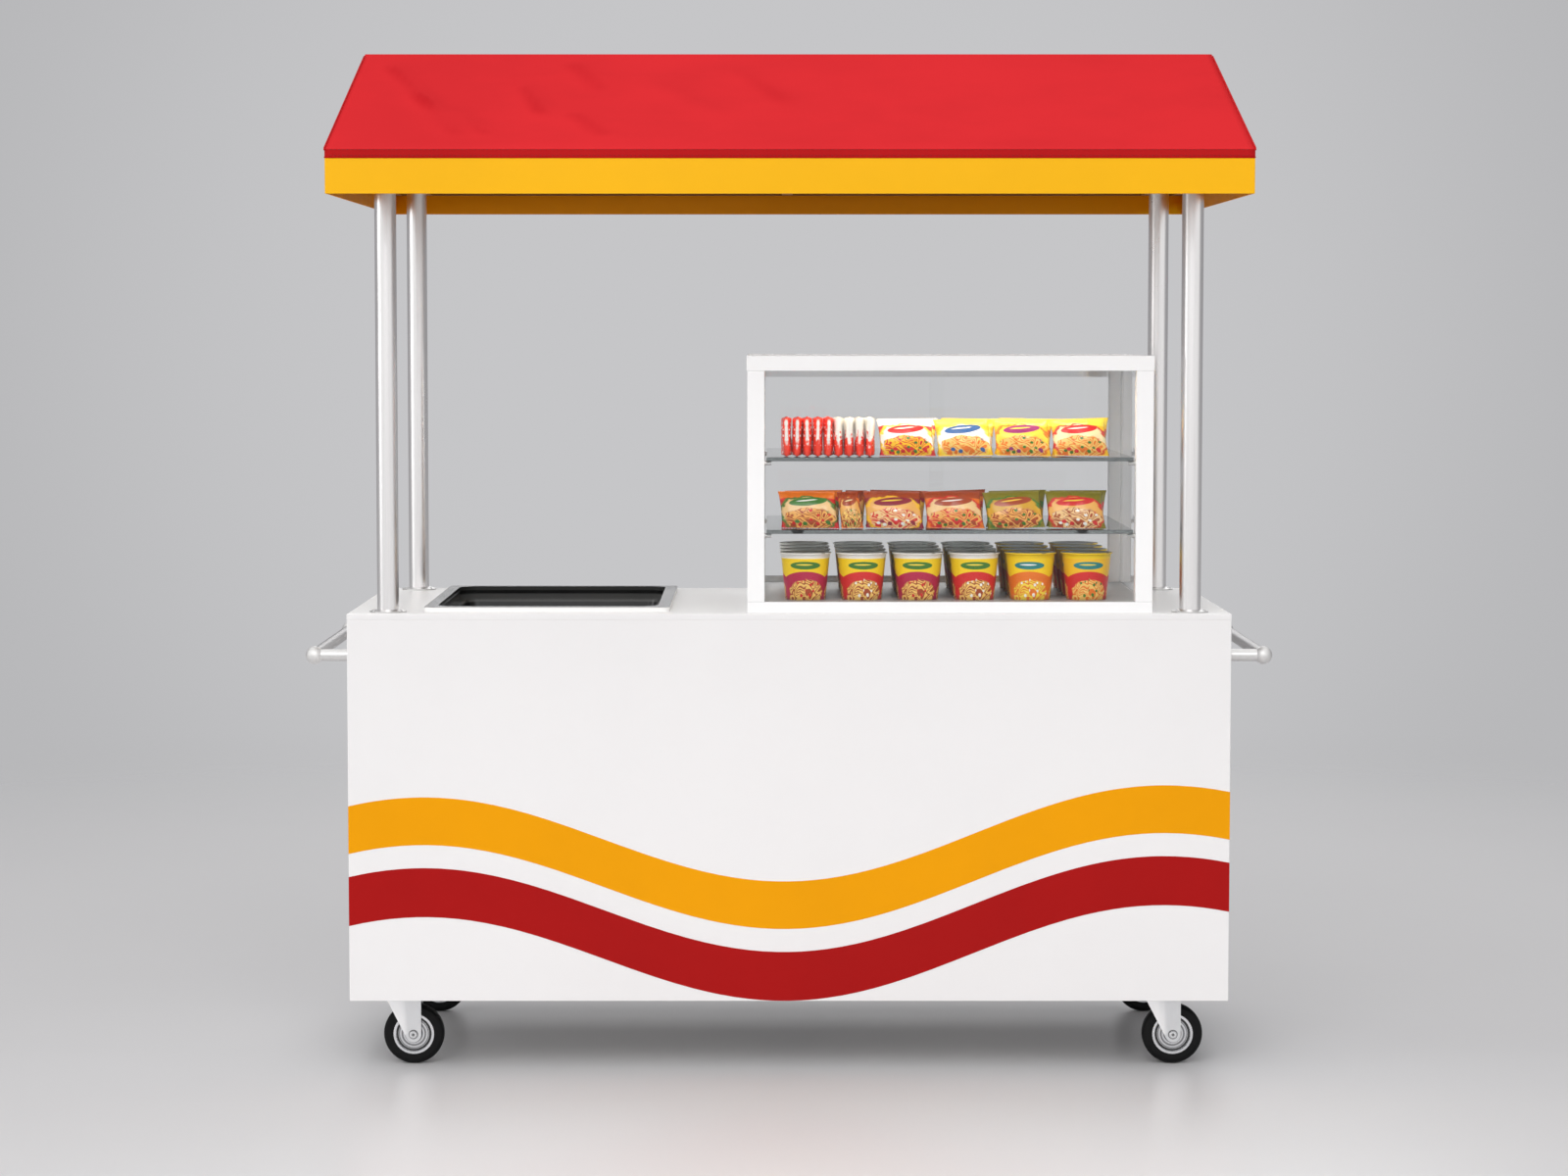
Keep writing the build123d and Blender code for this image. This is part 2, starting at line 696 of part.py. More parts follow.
# Two glass shelves on turned pegs
track_front = case_rear - track_width
shelf_x = (case_in_left + shelf_side_gap, case_in_right - shelf_side_gap)
shelf_y = (front_pane_y[1] + shelf_pane_gap, track_front - shelf_pane_gap)
peg_y = (shelf_y[0] + peg_edge_distance, case_rear - case_post + peg_collar_radius + peg_seat_gap)
peg = turned(
    [
        (0, 0),
        (peg_collar_radius, 0),
        (peg_collar_radius, peg_collar),
        (peg_radius, peg_collar),
        (peg_radius, peg_length),
        (0, peg_length),
    ]
)
shelves = []
shelf_pegs = []
for top in (lower_shelf_top, upper_shelf_top):
    underside = top - shelf_thickness
    shelves.append(block((shelf_x[0], shelf_y[0], underside), (shelf_x[1], shelf_y[1], top)))
    peg_z = underside - peg_radius - peg_seat_gap
    for y in peg_y:
        shelf_pegs.append(Pos(case_in_left, y, peg_z) * Rot(0, 90, 0) * peg)
        shelf_pegs.append(Pos(case_in_right, y, peg_z) * Rot(0, -90, 0) * peg)
save("case_shelves", *shelves)
save("shelf_pegs", *shelf_pegs)

# Two sliding glass doors at the rear of the case, one behind the other in double tracks
track_wall = (track_width - 2 * track_groove) / 3
groove_y = [track_front + track_wall, track_front + 2 * track_wall + track_groove]
lower_track_top = case_floor + lower_track_height
lower_track = block((case_in_left, track_front, case_floor), (case_in_right, case_rear, lower_track_top))
upper_track_z = lid_underside - upper_track_height
upper_track = block((case_in_left, track_front, upper_track_z), (case_in_right, case_rear, lid_underside))
for y in groove_y:
    groove_end = y + track_groove
    groove_bed = case_floor + track_floor
    lower_track -= block((case_in_left, y, groove_bed), (case_in_right, groove_end, lower_track_top))
    groove_roof = lid_underside - track_floor
    upper_track -= block((case_in_left, y, upper_track_z), (case_in_right, groove_end, groove_roof))
save("door_tracks", lower_track, upper_track)

slider_width = (case_in_right - case_in_left + slider_overlap) / 2 - slider_end_gap
slider_bottom = case_floor + track_floor + slider_ride_gap
slider_top = upper_track_z + slider_top_engagement
slider_pull_z = case_floor + slider_pull_rise
pull_bore = slider_pull_radius - slider_pull_wall
slider_pull = turned(
    [
        (0, 0),
        (slider_pull_radius, 0),
        (slider_pull_radius, slider_pull_thickness),
        (pull_bore, slider_pull_thickness),
        (pull_bore, slider_pull_thickness - slider_pull_recess),
        (0, slider_pull_thickness - slider_pull_recess),
    ]
)
for side, name, y in ((-1, "left", groove_y[0]), (1, "right", groove_y[1])):
    slider_front = y + (track_groove - slider_thickness) / 2
    slider_rear = slider_front + slider_thickness
    outer_edge = case_in_left + slider_end_gap if side < 0 else case_in_right - slider_end_gap
    ends = sorted((outer_edge, outer_edge - side * slider_width))
    save(f"{name}_slider", block((ends[0], slider_front, slider_bottom), (ends[1], slider_rear, slider_top)))
    pull_x = outer_edge - side * slider_pull_edge
    save(f"{name}_slider_pull", Pos(pull_x, slider_rear, slider_pull_z) * Rot(-90, 0, 0) * slider_pull)

# Lamp bar let into the lid's underside
light_x = (case_left + case_right) / 2
light_y = case_front + light_setback
light_foot = lid_underside + light_recess
light_head = light_foot + light_height
light_low = (light_x - light_length / 2, light_y - light_width / 2, light_foot)
light_high = (light_x + light_length / 2, light_y + light_width / 2, light_head)
lamp = block(light_low, light_high)
lamp = fillet(lamp.edges().filter_by(Axis.X).group_by(Axis.Z)[0], light_edge_radius)
pocket_low = (light_low[0] - light_pocket_gap, light_low[1] - light_pocket_gap, lid_underside)
pocket_high = (light_high[0] + light_pocket_gap, light_high[1] + light_pocket_gap, light_head)
save("case_top", lid - block(pocket_low, pocket_high))
save("case_light", lamp)


def pillow(width, height, thickness):
    """Filled pillow pack on Z = 0: swollen in the middle, drawn in at its sides, flat at both seals."""
    belly = thickness / 2
    seal = pack_seal / 2
    side_view = Line((-seal, 0), (seal, 0))
    side_view += ThreePointArc((seal, 0), (belly, height / 2), (seal, height))
    side_view += Line((seal, height), (-seal, height))
    side_view += ThreePointArc((-seal, height), (-belly, height / 2), (-seal, 0))
    edge = width / 2
    waist = edge - pack_seal
    front_view = Line((-edge, 0), (edge, 0))
    front_view += ThreePointArc((edge, 0), (waist, height / 2), (edge, height))
    front_view += Line((edge, height), (-edge, height))
    front_view += ThreePointArc((-edge, height), (-waist, height / 2), (-edge, 0))
    swell = extrude(Plane.YZ * make_face(side_view), edge, both=True)
    outline = extrude(Plane.XZ * make_face(front_view), belly, both=True)
    return swell & outline


def set_down(piece, surface):
    """Lower or lift a piece until it stands just clear of a surface."""
    return Pos(0, 0, surface + goods_clearance - piece.bounding_box().min.Z) * piece


def pack_row(width, places, surface):
    """Pillow packs leaning back in rows, one behind the other."""
    packs = []
    leaning = Rot(-pack_lean, 0, 0) * pillow(width, pack_height, pack_thickness)
    standing = set_down(leaning, surface)
    first_y = shelf_y[0] + goods_front_setback - standing.bounding_box().min.Y
    for row in range(pack_rows):
        for x in places:
            packs.append(Pos(x, first_y + row * pack_row_pitch, 0) * standing)
    return packs


upper_start = case_in_left + upper_pack_first
upper_places = [upper_start + i * upper_pack_pitch for i in range(upper_pack_count)]
upper_packs = pack_row(upper_pack_width, upper_places, upper_shelf_top)
side_pack = Rot(0, 0, 90) * pillow(side_pack_width, pack_height, side_pack_thickness)
side_pack = set_down(side_pack, upper_shelf_top)
side_pack_y = shelf_y[0] + goods_front_setback + side_pack_width / 2
for i in range(side_pack_count):
    side_pack_x = case_in_left + side_pack_first + i * side_pack_pitch
    upper_packs.append(Pos(side_pack_x, side_pack_y, 0) * side_pack)
save("upper_packs", *upper_packs)

middle_start = case_in_left + middle_pack_first
middle_places = [case_in_left + end_pack_place]
middle_places += [middle_start + i * middle_pack_pitch for i in range(middle_pack_count)]
middle_packs = pack_row(middle_pack_width, middle_places, lower_shelf_top)
middle_packs += pack_row(small_pack_width, [case_in_left + small_pack_place], lower_shelf_top)
save("middle_packs", *middle_packs)

cup = turned(
    [
        (0, 0),
        (cup_base_radius, 0),
        (cup_top_radius, cup_height - cup_lid_height),
        (cup_top_radius + cup_lid_lip, cup_height - cup_lid_height),
        (cup_top_radius + cup_lid_lip, cup_height),
        (0, cup_height),
    ]
)
cup = set_down(cup, case_floor)
cup_y = shelf_y[0] + goods_front_setback + cup_top_radius + cup_lid_lip
cups = []
for row in range(cup_rows):
    for column in range(cup_count):
        cup_x = case_in_left + cup_first + column * cup_pitch
        cups.append(Pos(cup_x, cup_y + row * cup_row_pitch, 0) * cup)
save("noodle_cups", *cups)

# Swivel casters: riveted top plate and kingpin, pressed fork, axle bolt, turned rim and rubber tyre
plate_z = caster_height - plate_thickness
race_z = plate_z - race_height
fork_race_top = race_z - swivel_gap
crown_top = fork_race_top - fork_race_height
crown_underside = crown_top - fork_sheet
head_top = crown_underside - swivel_gap
fork_inside = hub_length / 2 + hub_side_gap
fork_outside = fork_inside + fork_sheet
fork_back_reach = caster_trail + fork_boss_radius

plate = Pos(0, 0, plate_z) * rounded_slab(plate_length, plate_width, plate_thickness, plate_corner_radius)
plate += rod((0, 0, race_z), (0, 0, plate_z), race_radius)
plate -= rod((0, 0, race_z), (0, 0, caster_height), kingpin_radius)
for x in (-plate_hole_x / 2, plate_hole_x / 2):
    for y in (-plate_hole_y / 2, plate_hole_y / 2):
        plate -= rod((x, y, plate_z), (x, y, caster_height), plate_hole_radius)
kingpin = turned(
    [
        (0, head_top - kingpin_head_height),
        (kingpin_head_radius, head_top - kingpin_head_height),
        (kingpin_head_radius, head_top),
        (kingpin_radius, head_top),
        (kingpin_radius, caster_height),
        (0, caster_height),
    ]
)

# The cheek's front edge runs straight from the crown to where it meets the axle boss
crown_front = (-fork_front_reach, crown_top)
crown_x = crown_front[0] - caster_trail
crown_z = crown_front[1] - axle_z
boss_bearing = atan2(crown_z, crown_x) + acos(fork_boss_radius / hypot(crown_x, crown_z))
touch_x = caster_trail + fork_boss_radius * cos(boss_bearing)
touch_z = axle_z + fork_boss_radius * sin(boss_bearing)
boss_touch = (touch_x, touch_z)
boss_foot = (caster_trail, axle_z - fork_boss_radius)
boss_back = (fork_back_reach, axle_z)
cheek = Polyline(boss_back, (fork_back_reach, crown_top), crown_front, boss_touch)
cheek += ThreePointArc(boss_touch, boss_foot, boss_back)


def fork_plan(half_width, height):
    """Slab of the fork's plan: straight beside the wheel, drawn in towards the nose."""
    nose = half_width - fork_nose_taper
    outline = [
        (fork_back_reach, -half_width),
        (fork_back_reach, half_width),
        (-fork_crease, half_width),
        (-fork_front_reach, nose),
        (-fork_front_reach, -nose),
        (-fork_crease, -half_width),
    ]
    return extrude(make_face(Polyline(*outline, close=True)), height)


fork = extrude(Plane.XZ * make_face(cheek), fork_outside, both=True) & fork_plan(fork_outside, crown_top)
fork -= fork_plan(fork_inside, crown_underside)
crown_edges = fork.faces().sort_by(Axis.Z)[-1].edges()
fork = fillet([edge for edge in crown_edges if abs(edge.tangent_at(0).X) > 0.5], fork_bend_radius)
fork += rod((0, 0, crown_top - fork_sheet), (0, 0, fork_race_top), race_radius - race_step)
fork -= rod((0, 0, crown_underside), (0, 0, fork_race_top), kingpin_radius + running_clearance)
fork -= rod((caster_trail, -fork_outside, axle_z), (caster_trail, fork_outside, axle_z), axle_radius)
axle = turned(
    [
        (0, -fork_outside - axle_head_height),
        (axle_head_radius - axle_head_dome, -fork_outside - axle_head_height),
        (axle_head_radius, -fork_outside - axle_head_height + axle_head_dome),
        (axle_head_radius, -fork_outside),
        (axle_radius, -fork_outside),
        (axle_radius, fork_outside),
        (axle_head_radius, fork_outside),
        (axle_head_radius, fork_outside + axle_head_height - axle_head_dome),
        (axle_head_radius - axle_head_dome, fork_outside + axle_head_height),
        (0, fork_outside + axle_head_height),
    ]
)
lip_half = rim_width / 2
groove_half = lip_half - rim_groove_depth
disc_half = lip_half - rim_disc_recess
lip_radius = rim_seat_radius - rim_lip
groove_radius = lip_radius - rim_groove
rim_half_outline = [
    (hub_radius, hub_length / 2),
    (hub_radius, disc_half),
    (groove_radius, disc_half),
    (groove_radius, groove_half),
    (lip_radius, groove_half),
    (lip_radius, lip_half),
    (rim_seat_radius, lip_half),
]
bore_radius = axle_radius + running_clearance
rim_outline = [(bore_radius, hub_length / 2), *rim_half_outline]
wheel_rim = turned(rim_outline + [(r, -z) for r, z in reversed(rim_outline)])
tyre_depth = wheel_radius - rim_seat_radius
tyre_band = Pos(rim_seat_radius + tyre_depth / 2, 0) * Rectangle(tyre_depth, tyre_width)
tyre_section = fillet(tyre_band.vertices().group_by(Axis.X)[-1], tyre_shoulder)
tyre = revolve(Plane.XZ * tyre_section, Axis.Z)

caster_plates = []
for end, y in (("front", -swivel_y), ("rear", swivel_y)):
    for side, x in (("left", -swivel_x), ("right", swivel_x)):
        name = f"{end}_{side}"
        caster_plates += [Pos(x, y, 0) * plate, Pos(x, y, 0) * kingpin]
        on_axle = Pos(x + caster_trail, y, axle_z) * Rot(90, 0, 0)
        save(f"{name}_fork", Pos(x, y, 0) * fork, on_axle * axle)
        save(f"{name}_rim", on_axle * wheel_rim)
        save(f"{name}_tyre", on_axle * tyre)
save("caster_plates", *caster_plates)
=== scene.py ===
# %% [markdown]
# # A street food cart
# This notebook dresses a finished model of a small food cart: a white laminate cabinet on swivel casters,
# a counter with a sunk pan and a glazed display case, and a red cloth canopy with a yellow fascia on
# steel posts. The solid pieces are loaded as a fixed frame. They keep their shape and place, and get
# finishes here. Cloth, filled packs, cups and small screws are modelled as meshes around them, because
# soft and very small things are easier to shape as meshes than as solids.

# %% Load the frame
import math

import bmesh
import bpy
from mathutils import Matrix, Vector, noise


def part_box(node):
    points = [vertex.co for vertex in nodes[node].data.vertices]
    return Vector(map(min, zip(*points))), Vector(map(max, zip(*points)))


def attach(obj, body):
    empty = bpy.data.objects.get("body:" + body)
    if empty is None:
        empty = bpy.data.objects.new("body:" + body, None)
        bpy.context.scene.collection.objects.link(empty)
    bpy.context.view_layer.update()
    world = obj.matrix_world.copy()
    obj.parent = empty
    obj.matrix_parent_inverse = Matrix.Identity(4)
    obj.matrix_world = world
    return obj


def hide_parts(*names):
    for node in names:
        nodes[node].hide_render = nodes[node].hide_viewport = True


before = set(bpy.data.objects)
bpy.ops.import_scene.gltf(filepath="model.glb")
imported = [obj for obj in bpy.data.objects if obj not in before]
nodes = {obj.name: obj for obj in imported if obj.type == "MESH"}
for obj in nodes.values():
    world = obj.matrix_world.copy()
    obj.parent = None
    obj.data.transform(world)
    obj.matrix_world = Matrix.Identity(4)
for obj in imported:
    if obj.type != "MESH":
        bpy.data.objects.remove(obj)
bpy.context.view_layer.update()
MM = 0.001

# %% [markdown]
# ## The camera
# The picture is taken from the front with a long lens, a little above the counter and tilted slightly
# down. A camera can be moved by eye until the edges agree. Here its lens, place and tilt were worked out
# from the cabinet's straight edges instead, so they are real sizes, and what still differs is a matter of
# shape.

# %% Camera
camera_place = (-0.0365, -7.775, 1.511)
camera_tilt = 4.01
camera_lens = 83.8
camera_shift = 0.0082

camera_data = bpy.data.cameras.new("front_camera")
camera_data.lens = camera_lens
camera_data.sensor_width = 36.0
camera_data.shift_x = camera_shift
camera = bpy.data.objects.new("front_camera", camera_data)
camera.location = camera_place
camera.rotation_euler = (math.radians(90 - camera_tilt), 0, 0)
bpy.context.scene.collection.objects.link(camera)
bpy.context.scene.camera = camera

# %% [markdown]
# ## Helpers for finishes
# A finish is a tree of shader nodes. Trees can be drawn by hand in the node editor, but a script repeats
# them exactly. A few helpers keep it short: one adds a node and feeds its inputs, one turns a colour as
# the eye reads it on a screen into the linear values that shaders work in, and the rest are the mixes,
# sums and soft steps that every mask needs.


# %% Node helpers
def feed(socket, value):
    """Link another socket to an input, or set a plain value on it."""
    if isinstance(value, bpy.types.NodeSocket):
        socket.id_data.links.new(value, socket)
    else:
        socket.default_value = value


def add(tree, kind, inputs=None, **settings):
    """Add a node to a tree, set its options and feed its inputs."""
    made = tree.nodes.new(kind)
    for key, value in settings.items():
        setattr(made, key, value)
    for key, value in (inputs or {}).items():
        feed(made.inputs[key], value)
    return made


def follow(kind, inputs, **settings):
    """Add a node to the tree of the sockets that feed it."""
    source = next(value for value in inputs.values() if isinstance(value, bpy.types.NodeSocket))
    return add(source.id_data, kind, inputs, **settings)


def screen(red, green, blue):
    """Linear colour for an 8-bit screen colour."""
    shares = [c / 255 for c in (red, green, blue)]
    linear = [s / 12.92 if s <= 0.04045 else ((s + 0.055) / 1.055) ** 2.4 for s in shares]
    return (*linear, 1.0)


def mix_colour(mask, under, over):
    """Colour socket that shows over where mask is 1 and under where it is 0."""
    return follow("ShaderNodeMix", {"Factor": mask, 6: under, 7: over}, data_type="RGBA").outputs[2]


def sums(operation, *values):
    """Math node over sockets or plain numbers, as one socket."""
    return follow("ShaderNodeMath", dict(enumerate(values)), operation=operation).outputs[0]


def vectors(operation, *values):
    """Vector Math node as one socket, which is a number for lengths and dot products."""
    made = follow("ShaderNodeVectorMath", dict(enumerate(values)), operation=operation)
    return made.outputs["Value" if operation in ("LENGTH", "DOT_PRODUCT") else "Vector"]


def step(value, start, end):
    """Socket that climbs smoothly from 0 at start to 1 at end."""
    inputs = {"Value": value, "From Min": start, "From Max": end}
    return follow("ShaderNodeMapRange", inputs, interpolation_type="SMOOTHSTEP").outputs["Result"]


print("node helpers ready")

# %% [markdown]
# An effect that several finishes share is a shader group: a small tree with named inputs and outputs,
# built once. The same nodes could be copied into each material, but then every correction would have to
# be made in all of them. Textures are read at a point's place on the cart in metres, so their scales are
# real sizes.


# %% Group and texture helpers
def new_group(name, inputs, *outputs):
    """Empty shader group. inputs maps a name to its default, and an output called Colour is a colour."""
    group = bpy.data.node_groups.new(name, "ShaderNodeTree")
    for label, value in inputs.items():
        kind = "NodeSocketFloat"
        if isinstance(value, tuple):
            kind = "NodeSocketColor" if len(value) == 4 else "NodeSocketVector"
        group.interface.new_socket(label, in_out="INPUT", socket_type=kind).default_value = value
    for label in outputs:
        kind = "NodeSocketColor" if label == "Colour" else "NodeSocketFloat"
        group.interface.new_socket(label, in_out="OUTPUT", socket_type=kind)
    return group, group.nodes.new("NodeGroupInput"), group.nodes.new("NodeGroupOutput")


def hand_out(group, made, **sockets):
    """Link sockets to a group's outputs."""
    for label, socket in sockets.items():
        feed(made.inputs[label], socket)
    print(group.name, "has", len(group.nodes), "nodes")


def on_piece(tree, kind="Object"):
    """Place of a point on the cart, or with Normal the direction that its face looks in."""
    return add(tree, "ShaderNodeTexCoord").outputs[kind]


def part_of(vector, direction):
    """One of the three directions (0, 1 or 2) of a vector."""
    return follow("ShaderNodeSeparateXYZ", {0: vector}).outputs[direction]


def cloudy(place, scale, **more):
    """Noise texture read at a place, as one socket."""
    inputs = {key.capitalize(): value for key, value in more.items()}
    return follow("ShaderNodeTexNoise", {"Vector": place, "Scale": scale, **inputs}).outputs[0]


print("group and texture helpers ready")

# %% [markdown]
# ## Shared surface effects
# Real surfaces are never one flat colour. Painted board drifts a little in tone, has the faint orange
# peel of its coat, and shines unevenly where hands and cloths have been. Pictures of paint could be
# wrapped round the boards, but they repeat and show seams. Three noises of different size have neither
# fault.


# %% Satin coat group
def shine_between(given, value, low, high):
    """Roughness that goes from the group's Smooth to its Rough as a value goes from low to high."""
    ends = {"To Min": given.outputs["Smooth"], "To Max": given.outputs["Rough"]}
    inputs = {"Value": value, "From Min": low, "From Max": high, **ends}
    return follow("ShaderNodeMapRange", inputs).outputs["Result"]


GREY = (0.8, 0.8, 0.8, 1.0)
satin_inputs = {"Colour": GREY, "Drift Colour": GREY, "Peel Scale": 700.0, "Smooth": 0.3, "Rough": 0.45}
satin_coat, given, made = new_group("satin_coat", satin_inputs, "Colour", "Roughness", "Height")
place = on_piece(satin_coat)
drift = cloudy(place, 2.0, detail=4.0, roughness=0.6)
smudge = cloudy(place, 9.0, detail=6.0, roughness=0.65, distortion=0.6)
peel = cloudy(place, given.outputs["Peel Scale"], detail=2.0, roughness=0.5)
drift_mask = step(drift, 0.35, 0.7)
tone = mix_colour(drift_mask, given.outputs["Colour"], given.outputs["Drift Colour"])
shine = shine_between(given, smudge, 0.3, 0.7)
hand_out(satin_coat, made, Colour=tone, Roughness=shine, Height=peel)

# %% [markdown]
# Brushed steel has fine lines along its length. A stretched highlight alone could stand for them, but it
# is lost when the model is exported. So the lines are drawn: a noise that is squeezed across the brushing
# direction tints the metal and roughens it, and a larger haze keeps the shine uneven.

# %% Brushed lines group
steel_inputs = {"Colour": GREY, "Line Colour": GREY, "Stretch": (400.0, 400.0, 4.0)}
steel_inputs |= {"Smooth": 0.2, "Rough": 0.35}
brushed_lines, given, made = new_group("brushed_lines", steel_inputs, "Colour", "Roughness", "Height")
place = on_piece(brushed_lines)
pulled = vectors("MULTIPLY", place, given.outputs["Stretch"])
lines = cloudy(pulled, 1.0, detail=3.0, roughness=0.7)
haze = cloudy(place, 7.0, detail=5.0, roughness=0.6)
line_mask = step(lines, 0.4, 0.75)
tone = mix_colour(line_mask, given.outputs["Colour"], given.outputs["Line Colour"])
worn = sums("MULTIPLY_ADD", haze, 0.6, sums("MULTIPLY", line_mask, 0.4))
shine = shine_between(given, worn, 0.1, 0.8)
hand_out(brushed_lines, made, Colour=tone, Roughness=shine, Height=lines)

# %% [markdown]
# ## Finishes from those groups
# A finish function makes one material. It places a group, wires its colour, roughness and height to the
# shader, and sets what is the same all over, such as metallic or gloss, straight on the shader. Every
# coat and every metal is then one line with its own colour and roughness.


# %% Finish functions
def shader_of(material):
    """The Principled shader of a new material."""
    return material.node_tree.nodes["Principled BSDF"]


def new_finish(name, **sockets):
    """New material with plain values on its Principled shader. A socket's name has _ for spaces."""
    material = bpy.data.materials.new(name)
    material.use_nodes = True
    for key, value in sockets.items():
        shader_of(material).inputs[key.replace("_", " ")].default_value = value
    return material


def place_group(material, group, inputs):
    """Place a group in a material with its own inputs, and give its outputs."""
    return add(material.node_tree, "ShaderNodeGroup", inputs, node_tree=group).outputs


def coat_with(material, group, inputs, bump_depth):
    """Wire a placed group's colour, roughness and bump to the shader."""
    coat = place_group(material, group, inputs)
    shader = shader_of(material)
    feed(shader.inputs["Base Color"], coat["Colour"])
    feed(shader.inputs["Roughness"], coat["Roughness"])
    bump = follow("ShaderNodeBump", {"Strength": 0.6, "Distance": bump_depth, "Height": coat["Height"]})
    feed(shader.inputs["Normal"], bump.outputs["Normal"])


def shade(colour, share):
    """The same colour with less light in it."""
    return (*[c * share for c in colour[:3]], 1.0)


def satin(name, colour, deeper, smooth, rough, peel=700.0, depth=0.05 * MM, gloss=0.5, **sockets):
    """Painted, laminated or moulded surface."""
    material = new_finish(name, Specular_IOR_Level=gloss, **sockets)
    inputs = {"Colour": colour, "Drift Colour": shade(colour, deeper), "Peel Scale": peel}
    coat_with(material, satin_coat, {**inputs, "Smooth": smooth, "Rough": rough}, depth)
    return material


def metal(name, colour, stretch, deeper, smooth, rough, depth=0.03 * MM):
    """Brushed, turned or plated metal with lines along one direction."""
    material = new_finish(name, Metallic=1.0)
    inputs = {"Colour": colour, "Line Colour": shade(colour, deeper), "Stretch": stretch}
    coat_with(material, brushed_lines, {**inputs, "Smooth": smooth, "Rough": rough}, depth)
    return material


print("finish functions ready")

# %% [markdown]
# ## Finishes of the rigid pieces
# The cabinet is white laminate, the counter a harder satin white, and the stripes are films stuck on the
# front. The frame inside is grey powder-coated tube. Colours could be guessed and corrected by eye; here
# they are read from the picture at the level of plain soft light, so that they also look right under
# other light. After a colour come the share that it deepens to, and the smooth and rough ends of its
# shine.

# %% Board, paint and film
white_laminate = satin("white_laminate", screen(241, 239, 239), 0.98, 0.34, 0.46, gloss=0.3)
inner_board = satin("inner_board", screen(232, 230, 226), 0.93, 0.4, 0.55)
counter_white = satin("counter_white", screen(241, 239, 239), 0.98, 0.3, 0.42, peel=500.0, depth=0.02 * MM)
case_white = satin("case_white", screen(255, 254, 254), 0.97, 0.34, 0.46, gloss=0.3)
case_shaded_top = satin("case_shaded_top", screen(255, 254, 254), 0.97, 0.34, 0.46, gloss=0.3)
frame_grey = satin("frame_grey", screen(150, 152, 155), 0.85, 0.45, 0.6, peel=1200.0, depth=0.12 * MM)
# painted shade: the roof frame's dark ochre stands for the shade under the canopy where the frame shows
# below the fascia
roof_frame = satin("roof_frame", screen(150, 92, 14), 0.85, 0.45, 0.6, peel=1200.0, depth=0.12 * MM)
yellow_film = satin("yellow_film", screen(243, 162, 0), 0.95, 0.3, 0.42, gloss=0.1)
red_film = satin("red_film", screen(172, 18, 18), 0.93, 0.3, 0.42, gloss=0.1)
fascia_yellow = satin("fascia_yellow", screen(255, 189, 16), 0.96, 0.36, 0.5, peel=450.0, gloss=0.15)
black_enamel = satin("black_enamel", screen(80, 80, 79), 0.85, 0.14, 0.22, peel=200.0, depth=0.02 * MM)
catch_plastic = satin("catch_plastic", screen(225, 224, 220), 0.94, 0.4, 0.5)
print("twelve coats on board, paint and film")

# %% [markdown]
# The fascia boards are painted a deeper orange on their inner side, which is painted shade for the shade
# under the canopy. That side could be given its own faces and material. A mask leaves the mesh alone: a
# face of a frame looks inwards when its direction and its place, both seen from the frame's middle, point
# opposite ways.
# The same mask serves the rim round the pan further down.


# %% Inner side of the fascia
def from_middle(tree, middle, kept):
    """Place of a point as seen from a middle, with only the kept directions left."""
    return vectors("MULTIPLY", vectors("SUBTRACT", on_piece(tree), middle), kept)


def repaint(material, mask, colour):
    """Lay a colour over a finish where a mask in its tree is 1."""
    base = shader_of(material).inputs["Base Color"]
    feed(base, mix_colour(mask, base.links[0].from_socket, colour))


def shade_inside(material, node, colour):
    """Paint the inner side of a frame-shaped node with a colour that is painted shade."""
    low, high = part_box(node)
    repaint(material, place_group(material, inner_side, {"Middle": (low + high) / 2})["Inner"], colour)


inner_side, given, made = new_group("inner_side", {"Middle": (0.0, 0.0, 0.0)}, "Inner")
level = from_middle(inner_side, given.outputs["Middle"], (1.0, 1.0, 0.0))
outward = vectors("DOT_PRODUCT", level, on_piece(inner_side, "Normal"))
hand_out(inner_side, made, Inner=step(outward, -0.05, -0.15))
# painted shade: the deeper orange stands for the shade on the fascia's inner side
shade_inside(fascia_yellow, "fascia", screen(240, 148, 2))

# %% [markdown]
# The case's base board is white at its edges, and its upper face is painted grey as painted shade, for the
# shade that falls on the case's floor. The counter's edge strip has the tone of the panels, and its top is
# painted whiter as painted light. Both need only a mask of how far a face looks up.


# %% Tops of the boards
def looks_up(tree, start, end):
    """Mask that climbs to 1 on the faces that look up."""
    return step(part_of(on_piece(tree, "Normal"), 2), start, end)


# painted shade on the case's floor, painted light on the counter's top
for material, top in ((case_shaded_top, screen(168, 167, 166)), (counter_white, screen(250, 249, 248))):
    repaint(material, looks_up(material.node_tree, 0.7, 0.95), top)
print("case floor given painted shade, counter top painted light")

# %% [markdown]
# The posts are satin stainless tube with lines along their length, the handle bars are brushed the same
# way, and the casters are bright zinc plate. The balls on the handles are sanded duller than the arms
# that hold them, and the tracks of the sliding doors are nearly a mirror. One function makes them all,
# because only the colour, the direction of the lines and the roughness differ.

